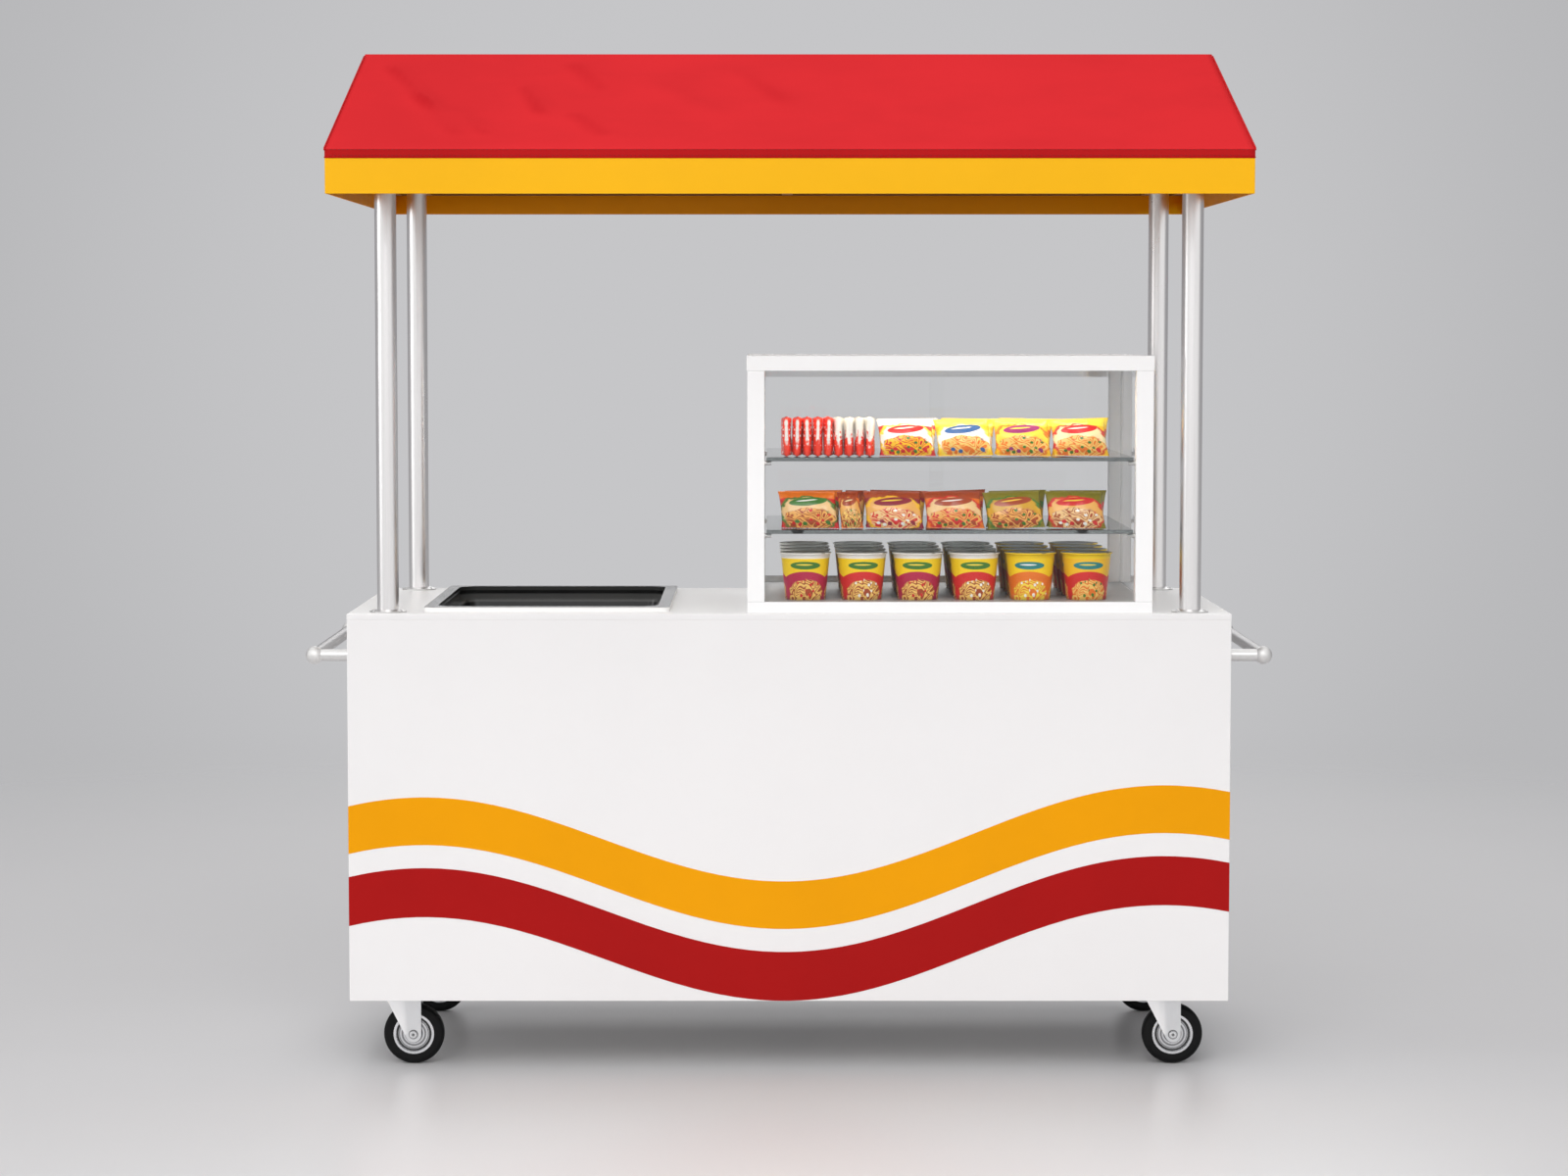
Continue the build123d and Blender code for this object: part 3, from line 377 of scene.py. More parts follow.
# %% Metals
# grain of a metal: how many marks go to a metre along X, Y and Z
UPRIGHT = (500.0, 500.0, 5.0)
ALONG_X = (5.0, 500.0, 500.0)
ALONG_Y = (500.0, 5.0, 500.0)
TURNED = (80.0, 80.0, 80.0)
PLATED = (60.0, 60.0, 60.0)
FINE = (200.0, 200.0, 200.0)
post_steel = metal("post_steel", screen(246, 244, 244), UPRIGHT, 0.93, 0.26, 0.34)
bar_steel = metal("bar_steel", screen(184, 183, 183), ALONG_Y, 0.9, 0.34, 0.44)
turned_steel = metal("turned_steel", screen(226, 225, 224), TURNED, 0.94, 0.34, 0.42)
ball_steel = metal("ball_steel", screen(230, 229, 228), TURNED, 0.96, 0.52, 0.6)
rim_steel = metal("rim_steel", screen(196, 196, 196), ALONG_X, 0.88, 0.18, 0.28)
plated_steel = metal("plated_steel", screen(216, 217, 220), PLATED, 0.94, 0.26, 0.36, 0.01 * MM)
flange_steel = metal("flange_steel", screen(214, 213, 212), TURNED, 0.95, 0.36, 0.42)
track_metal = metal("track_metal", screen(240, 240, 240), ALONG_X, 0.95, 0.06, 0.12)
screw_steel = metal("screw_steel", screen(205, 205, 205), FINE, 0.85, 0.2, 0.36)
print("nine metals")

# %% [markdown]
# The rim round the pan is steel on its upper faces and plain white on its other faces. A mask of how far a
# face looks up keeps the metal there, and its inner side is painted dark, as painted shade in the pan's
# opening. The pan's enamel is painted darker along its top edge and towards its bottom as painted shade,
# which two steps of height place.

# %% Rim and pan
on_top = looks_up(rim_steel.node_tree, 0.4, 0.7)
base = shader_of(rim_steel).inputs["Base Color"]
feed(base, mix_colour(on_top, screen(250, 249, 248), base.links[0].from_socket))
feed(shader_of(rim_steel).inputs["Metallic"], on_top)
# painted shade: the rim's inner side is dark for the shade in the pan's opening
shade_inside(rim_steel, "well_rim", screen(46, 46, 45))
# painted shade: darker bands on the pan's enamel at its top edge and towards its bottom
pan_shade_low, pan_shade_top = (0.919, 0.915), (0.931, 0.936)
height = part_of(on_piece(black_enamel.node_tree), 2)
pan_shade = sums("MAXIMUM", step(height, *pan_shade_low), step(height, *pan_shade_top))
repaint(black_enamel, pan_shade, screen(12, 12, 12))
print("rim strips and shaded pan")

# %% [markdown]
# The wheel rims are turned steel with a deep ring-shaped groove, which is painted dark as painted shade,
# and the hub gets darker rings of painted shade. The forks carry the head of the axle bolt, drawn as a
# dark line of painted shade round it and a dark socket. All of these lie at fixed distances from the axle,
# so one group makes the masks by distance for rims and forks.


# %% Rings round an axle
def band(value, rise, fall):
    """Mask that climbs over the two numbers of rise and goes down over those of fall."""
    return sums("MULTIPLY", step(value, *rise), step(value, *fall))


ring_pitch = 3.4 * MM
axle_rings, given, made = new_group("axle_rings", {"Axle": (0.0, 0.0, 0.0)}, "Groove", "Rings", "Bolt")
radius = vectors("LENGTH", from_middle(axle_rings, given.outputs["Axle"], (1.0, 0.0, 1.0)))
groove = band(radius, (31.0 * MM, 32.5 * MM), (37.2 * MM, 36.2 * MM))
wave = step(sums("PINGPONG", radius, ring_pitch), 0.0, ring_pitch)
rings = sums("MULTIPLY", wave, step(radius, 31.5 * MM, 30.5 * MM))
head_edge = band(radius, (7.6 * MM, 8.6 * MM), (10.4 * MM, 9.2 * MM))
bolt = sums("MAXIMUM", head_edge, step(radius, 3.6 * MM, 2.8 * MM))
hand_out(axle_rings, made, Groove=groove, Rings=rings, Bolt=bolt)

# %% [markdown]
# Each of the four wheels has its own axle, read from the rim's box, so each rim and fork gets its own
# material. The forks are pressed from sheet, and the faces where the nose is drawn in, which turn away
# from the flat cheek, are painted brighter as a painted highlight.

# %% Wheel and fork steel
corners = ("front_left", "front_right", "rear_left", "rear_right")
wheel_grain, fork_grain = (90.0, 90.0, 90.0), (40.0, 40.0, 40.0)
wheel_finishes = {}
for corner in corners:
    low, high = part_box(f"{corner}_rim")
    axle = {"Axle": (low + high) / 2}
    wheel = metal(f"{corner}_wheel_steel", screen(222, 223, 226), wheel_grain, 0.92, 0.22, 0.32)
    marks = place_group(wheel, axle_rings, axle)
    # painted shade: darker rings on the hub and a dark groove on the rim
    repaint(wheel, marks["Rings"], screen(118, 119, 121))
    repaint(wheel, marks["Groove"], screen(70, 70, 70))
    fork = metal(f"{corner}_fork_steel", screen(226, 227, 229), fork_grain, 0.97, 0.34, 0.42, 0.004 * MM)
    # painted highlight: the fork's drawn-in faces are painted brighter than the flat cheek
    sideways = sums("ABSOLUTE", part_of(on_piece(fork.node_tree, "Normal"), 0))
    repaint(fork, step(sideways, 0.03, 0.09), screen(253, 253, 254))
    # painted shade: the bolt head's edge line and its socket
    repaint(fork, place_group(fork, axle_rings, axle)["Bolt"], screen(128, 129, 131))
    wheel_finishes[wheel] = [f"{corner}_rim"]
    wheel_finishes[fork] = [f"{corner}_fork"]
print(len(wheel_finishes), "rims and forks")

# %% [markdown]
# ## Glass
# The panes are clear, so only their edges and a faint reflection show. A full glass shader bends the
# light, and for shadow rays it is swapped for a transparent one, because a pane in front of a lamp should
# light what stands behind it. The panes have a thin coat against reflections, as glass in front of goods
# often has, so they bend the light less. The shelves are thicker and have the grey-green tint that plate
# glass shows.


# %% Glass finishes
def glass(name, tint, roughness, bend):
    """Clear glass that lets light through to what is behind it."""
    material = new_finish(name, Base_Color=tint, Roughness=roughness, Transmission_Weight=1.0, IOR=bend)
    tree = material.node_tree
    shadow = add(tree, "ShaderNodeLightPath").outputs["Is Shadow Ray"]
    clear = add(tree, "ShaderNodeBsdfTransparent", {"Color": tint}).outputs[0]
    chosen = follow("ShaderNodeMixShader", {0: shadow, 1: shader_of(material).outputs[0], 2: clear})
    feed(tree.nodes["Material Output"].inputs["Surface"], chosen.outputs[0])
    return material


pane_glass = glass("pane_glass", (0.985, 0.988, 0.987, 1.0), 0.0, 1.28)
shelf_glass = glass("shelf_glass", (0.32, 0.35, 0.345, 1.0), 0.03, 1.45)
print("pane and shelf glass")

# %% [markdown]
# ## Rubber and the lamp
# The tyres are black rubber: almost no shine, a fine mould texture, and paler dust on the tread. The lamp
# bar under the case's lid is an opal diffuser that glows warm white. A lamp object could light the goods,
# but a glowing bar also shows as what it is.

# %% Rubber and lamp finishes
mould = {"peel": 900.0, "depth": 0.1 * MM, "gloss": 0.16}
tyre_rubber = satin("tyre_rubber", screen(13, 13, 14), 1.4, 0.4, 0.56, **mould)
glow = {"Emission_Color": screen(255, 236, 205), "Emission_Strength": 17.0}
lamp_diffuser = satin("lamp_diffuser", screen(250, 244, 230), 0.97, 0.5, 0.6, **glow)
print("rubber and lamp")

# %% [markdown]
# ## Give each piece its finish
# On the bench, pieces of one finish would be coated or plated together. So the list goes by finish, and
# names the pieces that share it.

# %% Assign finishes
finishes = {
    white_laminate: ["front_panel", "left_panel", "right_panel", "left_door", "right_door"],
    inner_board: ["floor_panel", "inner_shelf"],
    counter_white: ["counter_top"],
    case_white: ["case_posts", "case_top"],
    case_shaded_top: ["case_base"],
    frame_grey: ["base_frame", "cabinet_frame"],
    roof_frame: ["canopy_frame"],
    yellow_film: ["yellow_stripe"],
    red_film: ["red_stripe"],
    fascia_yellow: ["fascia"],
    black_enamel: ["well_tub"],
    catch_plastic: ["door_catches"],
    post_steel: ["canopy_posts", "left_door_pull", "right_door_pull"],
    bar_steel: ["left_handle_bar", "right_handle_bar"],
    flange_steel: ["post_flanges"],
    turned_steel: ["canopy_sockets", "handle_brackets", "shelf_pegs"],
    ball_steel: ["handle_balls"],
    rim_steel: ["well_rim"],
    track_metal: ["door_tracks"],
    plated_steel: ["caster_plates", "hinge_plates", "left_hinge_leaves", "right_hinge_leaves",
                   "left_slider_pull", "right_slider_pull"],
    pane_glass: ["case_front_glass", "case_side_glass", "left_slider", "right_slider"],
    shelf_glass: ["case_shelves"],
    tyre_rubber: [f"{corner}_tyre" for corner in corners],
    lamp_diffuser: ["case_light"],
    **wheel_finishes,
}
for material, members in finishes.items():
    for name in members:
        nodes[name].data.materials.clear()
        nodes[name].data.materials.append(material)
print(sum(len(members) for members in finishes.values()), "pieces have a finish")

# %% [markdown]
# ## Softened edges
# No real board or sheet has a perfect corner: edges are eased by a sanding block or a rolled bend, and
# they catch a thin line of light. The corners could be rounded in the solids, at the cost of many more
# faces. A bevel modifier does it here. The pieces come with split corners, so a weld modifier joins them
# first, and weighted normals keep the large faces flat.

# %% Ease the edges
eased = {
    0.8 * MM: ["left_panel", "right_panel", "left_door", "right_door", "floor_panel", "inner_shelf"],
    1.4 * MM: ["front_panel"],
    1.2 * MM: ["case_base", "case_posts", "base_frame", "cabinet_frame"],
    0.5 * MM: [f"{corner}_fork" for corner in corners],
    1.3 * MM: ["fascia"],
    0.6 * MM: ["door_catches", "case_light", "case_shelves", "left_slider", "right_slider"],
}
for width, members in eased.items():
    for name in members:
        weld = nodes[name].modifiers.new("join_corners", "WELD")
        weld.merge_threshold = 0.02 * MM
        bevel = nodes[name].modifiers.new("ease_edges", "BEVEL")
        bevel.width = width
        bevel.segments = 2
        bevel.limit_method = "ANGLE"
        bevel.angle_limit = math.radians(40)
        nodes[name].modifiers.new("flat_faces", "WEIGHTED_NORMAL")
print(sum(len(members) for members in eased.values()), "pieces have eased edges")

# %% [markdown]
# ## Mesh helpers
# New pieces are made from points and faces. They could be modelled by hand, but a formula keeps real
# sizes. A sheet or a skin is a grid: rows of points joined by four-sided faces, with a flat map (UV) in
# the same order, so that a weave or a print lies along it. A tube or a screw is a stack of rings with
# both ends closed.


# %% Grid, ring and object helpers
def piece(name, build, body, material):
    """Object from a bmesh, faces turned outwards, riding on a body, with its finish and slot."""
    bmesh.ops.recalc_face_normals(build, faces=build.faces)
    mesh = bpy.data.meshes.new(name)
    build.to_mesh(mesh)
    build.free()
    mesh.polygons.foreach_set("use_smooth", [True] * len(mesh.polygons))
    made = bpy.data.objects.new(name, mesh)
    bpy.context.scene.collection.objects.link(made)
    for one in material if isinstance(material, list) else [material]:
        mesh.materials.append(one)
    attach(made, body)
    return made


def add_grid(build, rows, flats, finish=0):
    """Add a grid to a bmesh from rows of points, with a row of flat (u, v) places for each."""
    flat_layer = build.loops.layers.uv.verify()
    made = [[build.verts.new(point) for point in row] for row in rows]
    for i in range(len(rows) - 1):
        for j in range(len(rows[0]) - 1):
            places = ((i, j), (i, j + 1), (i + 1, j + 1), (i + 1, j))
            face = build.faces.new([made[a][b] for a, b in places])
            face.material_index = finish
            for loop, (a, b) in zip(face.loops, places):
                loop[flat_layer].uv = flats[a][b]


def add_rings(build, rings, finish=0):
    """Add a closed body to a bmesh from a stack of rings of points."""
    made = [[build.verts.new(point) for point in ring] for ring in rings]
    faces = []
    for one, two in zip(made, made[1:]):
        for k in range(len(one)):
            after = (k + 1) % len(one)
            faces.append(build.faces.new((one[k], one[after], two[after], two[k])))
    faces.append(build.faces.new(list(reversed(made[0]))))
    faces.append(build.faces.new(made[-1]))
    for face in faces:
        face.material_index = finish


print("mesh helpers ready")

# %% [markdown]
# ## The canopy cloth
# The cover is one sheet of coated cloth, pulled over five pairs of rafters and turned down over the
# fascia as a short hem. Cloth held like this is never flat: it dips a few millimetres between the
# rafters, and where it was pulled unevenly, slack runs across it in soft diagonal folds, mostly on the
# left half. A simulation could find the dip, but the edges are fixed and the folds are known from the
# picture, so the sheet is built as a grid over the roof's section.

# %% Canopy sizes
roof_low, roof_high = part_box("roof_cover")
hem_height = 20 * MM
ridge_lean = 12 * MM
eave_round = 5 * MM
ridge_round = 7 * MM
cloth_thickness = 1.6 * MM
dip = 4.0 * MM
rafter_x = [0.0, 0.43825, 0.8765]
eave_z = roof_low.z + hem_height
roof_rise = roof_high.z - eave_z
slope_length = math.hypot(roof_high.y, roof_rise)
slope_up = Vector((0, roof_high.y, roof_rise)) / slope_length
slope_out = Vector((0, -roof_rise, roof_high.y)) / slope_length
pitch = math.degrees(math.atan2(roof_rise, roof_high.y))
print("slope", round(slope_length, 3), "m long, pitch", round(pitch, 1))

# %% [markdown]
# The folds are soft ridges along lines on the slope. Painted shade alone would not show from the side, so
# they are real ridges, which also get painted shade further down. Each line has its two ends as shares of
# the roof's length and of the slope, a height and a half-width. A low noise adds the slight unevenness of
# a sheet stretched by hand.

# %% Folds on the slope
folds = [
    ((-0.95, 0.94), (-0.76, 0.30), 5.0 * MM, 26 * MM),
    ((-0.86, 0.60), (-0.70, 0.02), 4.5 * MM, 28 * MM),
    ((-0.62, 0.70), (-0.54, 0.26), 5.5 * MM, 28 * MM),
    ((-0.76, 0.44), (-0.64, 0.06), 4.5 * MM, 26 * MM),
    ((-0.52, 0.95), (-0.40, 0.50), 3.4 * MM, 34 * MM),
    ((-0.34, 0.72), (-0.14, 0.28), 4.2 * MM, 34 * MM),
    ((-0.50, 0.40), (-0.38, 0.05), 3.2 * MM, 30 * MM),
    ((-0.16, 0.90), (0.02, 0.36), 3.0 * MM, 36 * MM),
    ((0.10, 0.92), (0.32, 0.20), 2.4 * MM, 44 * MM),
    ((0.60, 0.12), (0.86, 0.85), 2.6 * MM, 42 * MM),
]
fold_fade = 0.25


def smooth_rise(value):
    """Smooth step from 0 to 1, clamped."""
    value = min(1.0, max(0.0, value))
    return value * value * (3 - 2 * value)


def fold_height(x, share, mirrored):
    """How far the cloth stands out at x along the roof and a share up the slope."""
    if mirrored:
        x = -x
    here = Vector((x, share * slope_length))
    total = 0.0
    for start, end, height, reach in folds:
        a = Vector((start[0] * roof_high.x, start[1] * slope_length))
        b = Vector((end[0] * roof_high.x, end[1] * slope_length))
        run = b - a
        along = (here - a).dot(run) / run.length_squared
        fade = smooth_rise(along / fold_fade) * smooth_rise((1 - along) / fold_fade)
        away = (here - a - run * along).length
        total += height * fade * math.exp(-((away / reach) ** 2))
    total += 1.2 * MM * noise.noise(Vector((x * 3.1, share * 2.3, 4.7 if mirrored else 0.4)))
    return total


def rafter_dip(x):
    """Share of the full dip at x: none on a rafter, all of it half-way between two."""
    away = abs(x)
    for near, far in zip(rafter_x, rafter_x[1:]):
        if near <= away <= far:
            return math.sin(math.pi * (away - near) / (far - near)) ** 2
    return 0.0


print(len(folds), "folds on each slope")

# %% [markdown]
# The roof's section goes from the hem's lower edge up over the rounded eave, along the slope and over the
# rounded ridge. Only the front half is drawn, because the other slope mirrors it. The lengths along it
# are kept for the flat map and for the size that the cloth is cut to.


# %% Section of the roof
def half_section():
    """Points (y, z, share up the slope) of the front half of the roof's section, hem first."""
    points = [(-roof_high.y, roof_low.z + hem_height * i / 4, 0.0) for i in range(4)]
    eave = Vector((-roof_high.y, eave_z))
    up = Vector((slope_up.y, slope_up.z))
    start, end = eave_round / slope_length, 1 - ridge_round / slope_length

    def on_slope(share, drop=0.0):
        return (eave.x + up.x * share * slope_length, eave.y + up.y * share * slope_length - drop, share)

    for turn in (0, 1 / 4, 2 / 4, 3 / 4, 1):
        bend = eave + Vector((0, -eave_round)) * (1 - turn) ** 2 + up * eave_round * turn**2
        points.append((bend.x, bend.y, start * turn**2))
    rows = 44
    points += [on_slope(start + (end - start) * i / rows) for i in range(1, rows + 1)]
    for turn in (1 / 3, 2 / 3, 1):
        points.append(on_slope(end + (1 - end) * turn, 0.5 * ridge_round * up.y * turn**2))
    return points


front_half = half_section()
lengths = [0.0]
for (y0, z0, _), (y1, z1, _) in zip(front_half, front_half[1:]):
    lengths.append(lengths[-1] + math.hypot(y1 - y0, z1 - z0))
half_length = lengths[-1]
print(len(front_half), "points from hem to ridge,", round(half_length, 3), "m")

# %% [markdown]
# Each point of the section becomes one row of the sheet along the roof. A row lifts where a fold crosses
# it and dips between the rafters, but not at the eave, the ridge and the gables, where the cloth is held.


# %% Rows of the slopes
def end_reach(z):
    """Half-length of the roof at a height: the gables lean in above the eave."""
    return roof_high.x - ridge_lean * max(0.0, (z - eave_z) / roof_rise)


def slope_row(y, z, share, mirrored):
    """One row of the cloth along the roof, with its dip and folds."""
    row = []
    held = smooth_rise(share / held_eave) * smooth_rise((1 - share) / held_ridge)
    for i in range(columns):
        across = 2 * i / (columns - 1) - 1
        x = across * end_reach(z)
        inside = smooth_rise((1 - abs(across)) / held_gable)
        sunk = dip * rafter_dip(x) * 4 * share * (1 - share)
        point = Vector((x, y, z)) + slope_out * ((fold_height(x, share, mirrored) - sunk) * held * inside)
        if mirrored:
            point.y = -point.y
        row.append(point)
    return row


columns = 121
held_eave, held_ridge, held_gable = 0.12, 0.08, 0.09
cloth = bmesh.new()
main_rows = [slope_row(*point, False) for point in front_half]
main_rows += [slope_row(*point, True) for point in reversed(front_half[:-1])]
main_flats = []
for length in lengths + [2 * half_length - l for l in reversed(lengths[:-1])]:
    main_flats.append([((2 * i / (columns - 1) - 1) * roof_high.x, length) for i in range(columns)])
add_grid(cloth, main_rows, main_flats)
print("slopes have", len(cloth.faces), "faces")

# %% [markdown]
# Each end is a gable that leans in a little and is drawn in at its middle by a few millimetres. It is
# made as rows between the two slopes, which share its edge points, so joining doubles makes the whole
# cover one sheet. The hem's faces get a finish of their own, a deeper red that is painted shade: the
# turned-down edge stands upright and gets less light than the slopes.

# %% Gable ends
gable_columns = 41
gable_dent = 3 * MM
for side in (-1, 1):
    gable_rows = []
    gable_flats = []
    for y, z, share in front_half:
        dent = gable_dent * math.sin(math.pi * share) if 0 < share < 1 else 0.0
        row = []
        for i in range(gable_columns):
            across = 2 * i / (gable_columns - 1) - 1
            bow = dent * (1 - across**2)
            row.append(Vector((side * (end_reach(z) - bow), across * -y, z)))
        gable_rows.append(row)
        gable_flats.append([(side * (roof_high.x + z - eave_z), p.y) for p in row])
    add_grid(cloth, gable_rows, gable_flats)
bmesh.ops.remove_doubles(cloth, verts=cloth.verts, dist=0.05 * MM)
for face in cloth.faces:
    face.material_index = 1 if face.calc_center_median().z < eave_z - eave_round / 2 else 0
cloth_area = sum(face.calc_area() for face in cloth.faces)
print("cloth", len(cloth.faces), "faces,", round(cloth_area, 3), "square metres")

# %% [markdown]
# Coated canopy cloth is a plain weave under a thin coat. Up close the threads show as a fine grid,
# further off only as a soft sheen. Threads could be modelled one by one, but at this size two wave
# textures crossed at right angles on the flat map do, at the real pitch.

# %% Cloth finishes
thread_pitch = 0.9 * MM


def canvas(name, colour):
    """Coated plain-weave cloth of one colour."""
    material = satin(name, colour, 0.92, 0.5, 0.66, peel=260.0, gloss=0.0)
    tree = material.node_tree
    inputs = {"Vector": add(tree, "ShaderNodeUVMap").outputs[0], "Scale": math.pi / 10 / thread_pitch}
    threads = [follow("ShaderNodeTexWave", inputs, bands_direction=way).outputs["Fac"] for way in "XY"]
    weave = {"Strength": 0.25, "Distance": 0.15 * MM, "Height": sums("MULTIPLY", *threads)}
    grain_bump = shader_of(material).inputs["Normal"].links[0].from_node
    feed(grain_bump.inputs["Normal"], follow("ShaderNodeBump", weave).outputs[0])
    return material


canopy_cloth = canvas("canopy_cloth", screen(220, 48, 53))
# painted shade: the hem's cloth is a deeper red than the slopes for the shade on the upright hem
shaded_hem_cloth = canvas("shaded_hem_cloth", screen(191, 33, 35))
cloth_lining = satin("cloth_lining", screen(226, 224, 220), 0.94, 0.5, 0.66, peel=260.0, gloss=0.2)
print("three cloth finishes, thread pitch", thread_pitch / MM, "mm")

# %% [markdown]
# Folds that stand above the slope's plane are painted a deeper red, as painted shade along the folds. The
# height above that plane is one dot product of the place with the slope's direction, and taking the place
# without its signs serves both slopes. The inner side of the cloth has a pale coat, which the thickness
# modifier gives to the faces that it adds.

# %% Cloth piece
both_sides = vectors("ABSOLUTE", on_piece(canopy_cloth.node_tree))
above = vectors("DOT_PRODUCT", both_sides, (0.0, -slope_out.y, slope_out.z))
flush = -slope_out.y * roof_high.y + slope_out.z * eave_z
# painted shade: a deeper red where the folds stand above the slope
repaint(canopy_cloth, step(above, flush + 0.8 * MM, flush + 6.0 * MM), screen(200, 37, 43))
canopy = piece("canopy_cloth", cloth, "cart", [canopy_cloth, shaded_hem_cloth, cloth_lining])
thick = canopy.modifiers.new("cloth_thickness", "SOLIDIFY")
thick.thickness = cloth_thickness
thick.offset = -1.0
thick.material_offset = 2
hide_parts("roof_cover")
print("canopy cloth in place,", cloth_thickness / MM, "mm thick")

# %% [markdown]
# The edges of the sheet are finished with a rolled seam: a thin welt along the four sloping gable edges,
# and a folded welt along the lower edge of the hem. A welt could be a bevelled curve. A small round tube
# of rings that follows the edge is a plain mesh, and serves for the stitches too.


# %% Welts
def add_tube(build, points, radius, sides=8):
    """Add a closed round tube along points to a bmesh."""
    angles = [2 * math.pi * k / sides for k in range(sides)]
    rings = []
    for i, point in enumerate(points):
        ahead = points[min(i + 1, len(points) - 1)] - points[max(i - 1, 0)]
        turn = ahead.to_track_quat("Z", "Y").to_matrix()
        rings.append([point + turn @ Vector((math.cos(a), math.sin(a), 0)) * radius for a in angles])
    add_rings(build, rings)


welt_radius = 1.8 * MM
welts = bmesh.new()
for side in (-1, 1):
    for face in (-1, 1):
        line = [Vector((side * end_reach(z), -face * y, z)) for y, z, _ in front_half[4:-4]]
        add_tube(welts, line, welt_radius)
hem_low = roof_low.z + welt_radius
hem_corners = []
for x, y in ((-1, -1), (1, -1), (1, 1), (-1, 1)):
    hem_corners.append(Vector((x * roof_high.x, y * roof_high.y, hem_low)))
for start, end in zip(hem_corners, hem_corners[1:] + hem_corners[:1]):
    add_tube(welts, [start.lerp(end, i / 30) for i in range(31)], welt_radius * 0.7)
welt_cloth = satin("welt_cloth", screen(196, 22, 27), 0.85, 0.5, 0.66, peel=900.0, gloss=0.06)
canopy_welts = piece("canopy_welts", welts, "cart", welt_cloth)
print("welts", len(canopy_welts.data.polygons), "faces")

# %% [markdown]
# Two rows of stitches hold the hem, one below the eave and one above its lower edge. Dashes in the finish
# would vanish from the side, so each stitch is a short thread of its own.

# %% Stitch rows
stitch_length = 5 * MM
stitch_pitch = 8 * MM
stitch_radius = 0.45 * MM
stitch_proud = 0.2 * MM
stitch_margin = 10 * MM
out_x, out_y = roof_high.x + stitch_proud, roof_high.y + stitch_proud
end_x, end_y = roof_high.x - stitch_margin, roof_high.y - stitch_margin
stitches = bmesh.new()
for height in (eave_z - 3.5 * MM, roof_low.z + 5 * MM):
    rows = [(Vector((-end_x, y, height)), Vector((end_x, y, height))) for y in (-out_y, out_y)]
    rows += [(Vector((x, -end_y, height)), Vector((x, end_y, height))) for x in (-out_x, out_x)]
    for start, end in rows:
        ahead = (end - start).normalized()
        for i in range(int((end - start).length / stitch_pitch)):
            first = start + ahead * (i * stitch_pitch)
            add_tube(stitches, [first, first + ahead * stitch_length], stitch_radius, 5)
thread_red = satin("thread_red", screen(150, 20, 24), 0.85, 0.5, 0.6)
canopy_stitches = piece("canopy_stitches", stitches, "cart", thread_red)

# %% [markdown]
# ## Prints for the goods
# The packs and cups on show carry bright prints. These are plain generic designs without words, drawn by
# nodes on the flat map. Pictures could be wrapped on instead, but drawn shapes stay sharp at any
# distance. A few of them do for all: ellipses with a soft or uneven edge, curly strands, which are the
# height lines of a smooth noise, and scattered round pieces of garnish.


# %% Shapes on a flat map
def ellipse(u, v, middle, reach, soft=0.08, wobble=None):
    """Mask that is 1 inside an ellipse on the flat map, with an uneven edge if wobble is given."""
    off_u = sums("DIVIDE", sums("SUBTRACT", u, middle[0]), reach[0])
    off_v = sums("DIVIDE", sums("SUBTRACT", v, middle[1]), reach[1])
    square = sums("MULTIPLY_ADD", off_u, off_u, sums("MULTIPLY", off_v, off_v))
    away = sums("SQRT", square)
    if wobble is not None:
        away = sums("MULTIPLY_ADD", wobble, 0.5, away)
    return step(away, 1.0, 1.0 - soft)


def curly_strands(flat, scale):
    """Mask of curly strands on the flat map: the height lines of a smooth noise."""
    hills = cloudy(flat, scale, detail=0.5, distortion=0.8)
    return step(sums("PINGPONG", sums("MULTIPLY", hills, 16.0), 1.0), 0.2, 0.62)


def garnish(flat, scale, share):
    """Mask of scattered round pieces on the flat map. share says how many of the places are empty."""
    cells = follow("ShaderNodeTexVoronoi", {"Vector": flat, "Scale": scale})
    chance = follow("ShaderNodeSeparateColor", {0: cells.outputs["Color"]}).outputs[0]
    kept = sums("GREATER_THAN", chance, share)
    return sums("MULTIPLY", kept, step(cells.outputs["Distance"], 0.36, 0.26))


def flat_map(tree):
    """The flat map, its two directions and a slow ripple over it."""
    flat = add(tree, "ShaderNodeUVMap").outputs[0]
    return flat, part_of(flat, 0), part_of(flat, 1), cloudy(flat, 5.0, detail=3.0)


print("shapes ready")

# %% [markdown]
# A pack's print has a ground colour, a top band, a pale splash with an outline, a round serving of curly
# strands with small garnish, and a bare badge. One group lays these over each other in nine colours, so
# each kind of pack is the same group in other colours.


# %% Pack print group
def new_print(name, colours):
    """Empty group for a print, with a colour input for each name."""
    return new_group(name, {label: GREY for label in colours}, "Colour")


def lay_colours(group, given, made, ground, layers):
    """Lay the group's colours over its ground one by one, each where its mask is 1."""
    colour = given.outputs[ground]
    for mask, name in layers:
        colour = mix_colour(mask, colour, given.outputs[name])
    hand_out(group, made, Colour=colour)


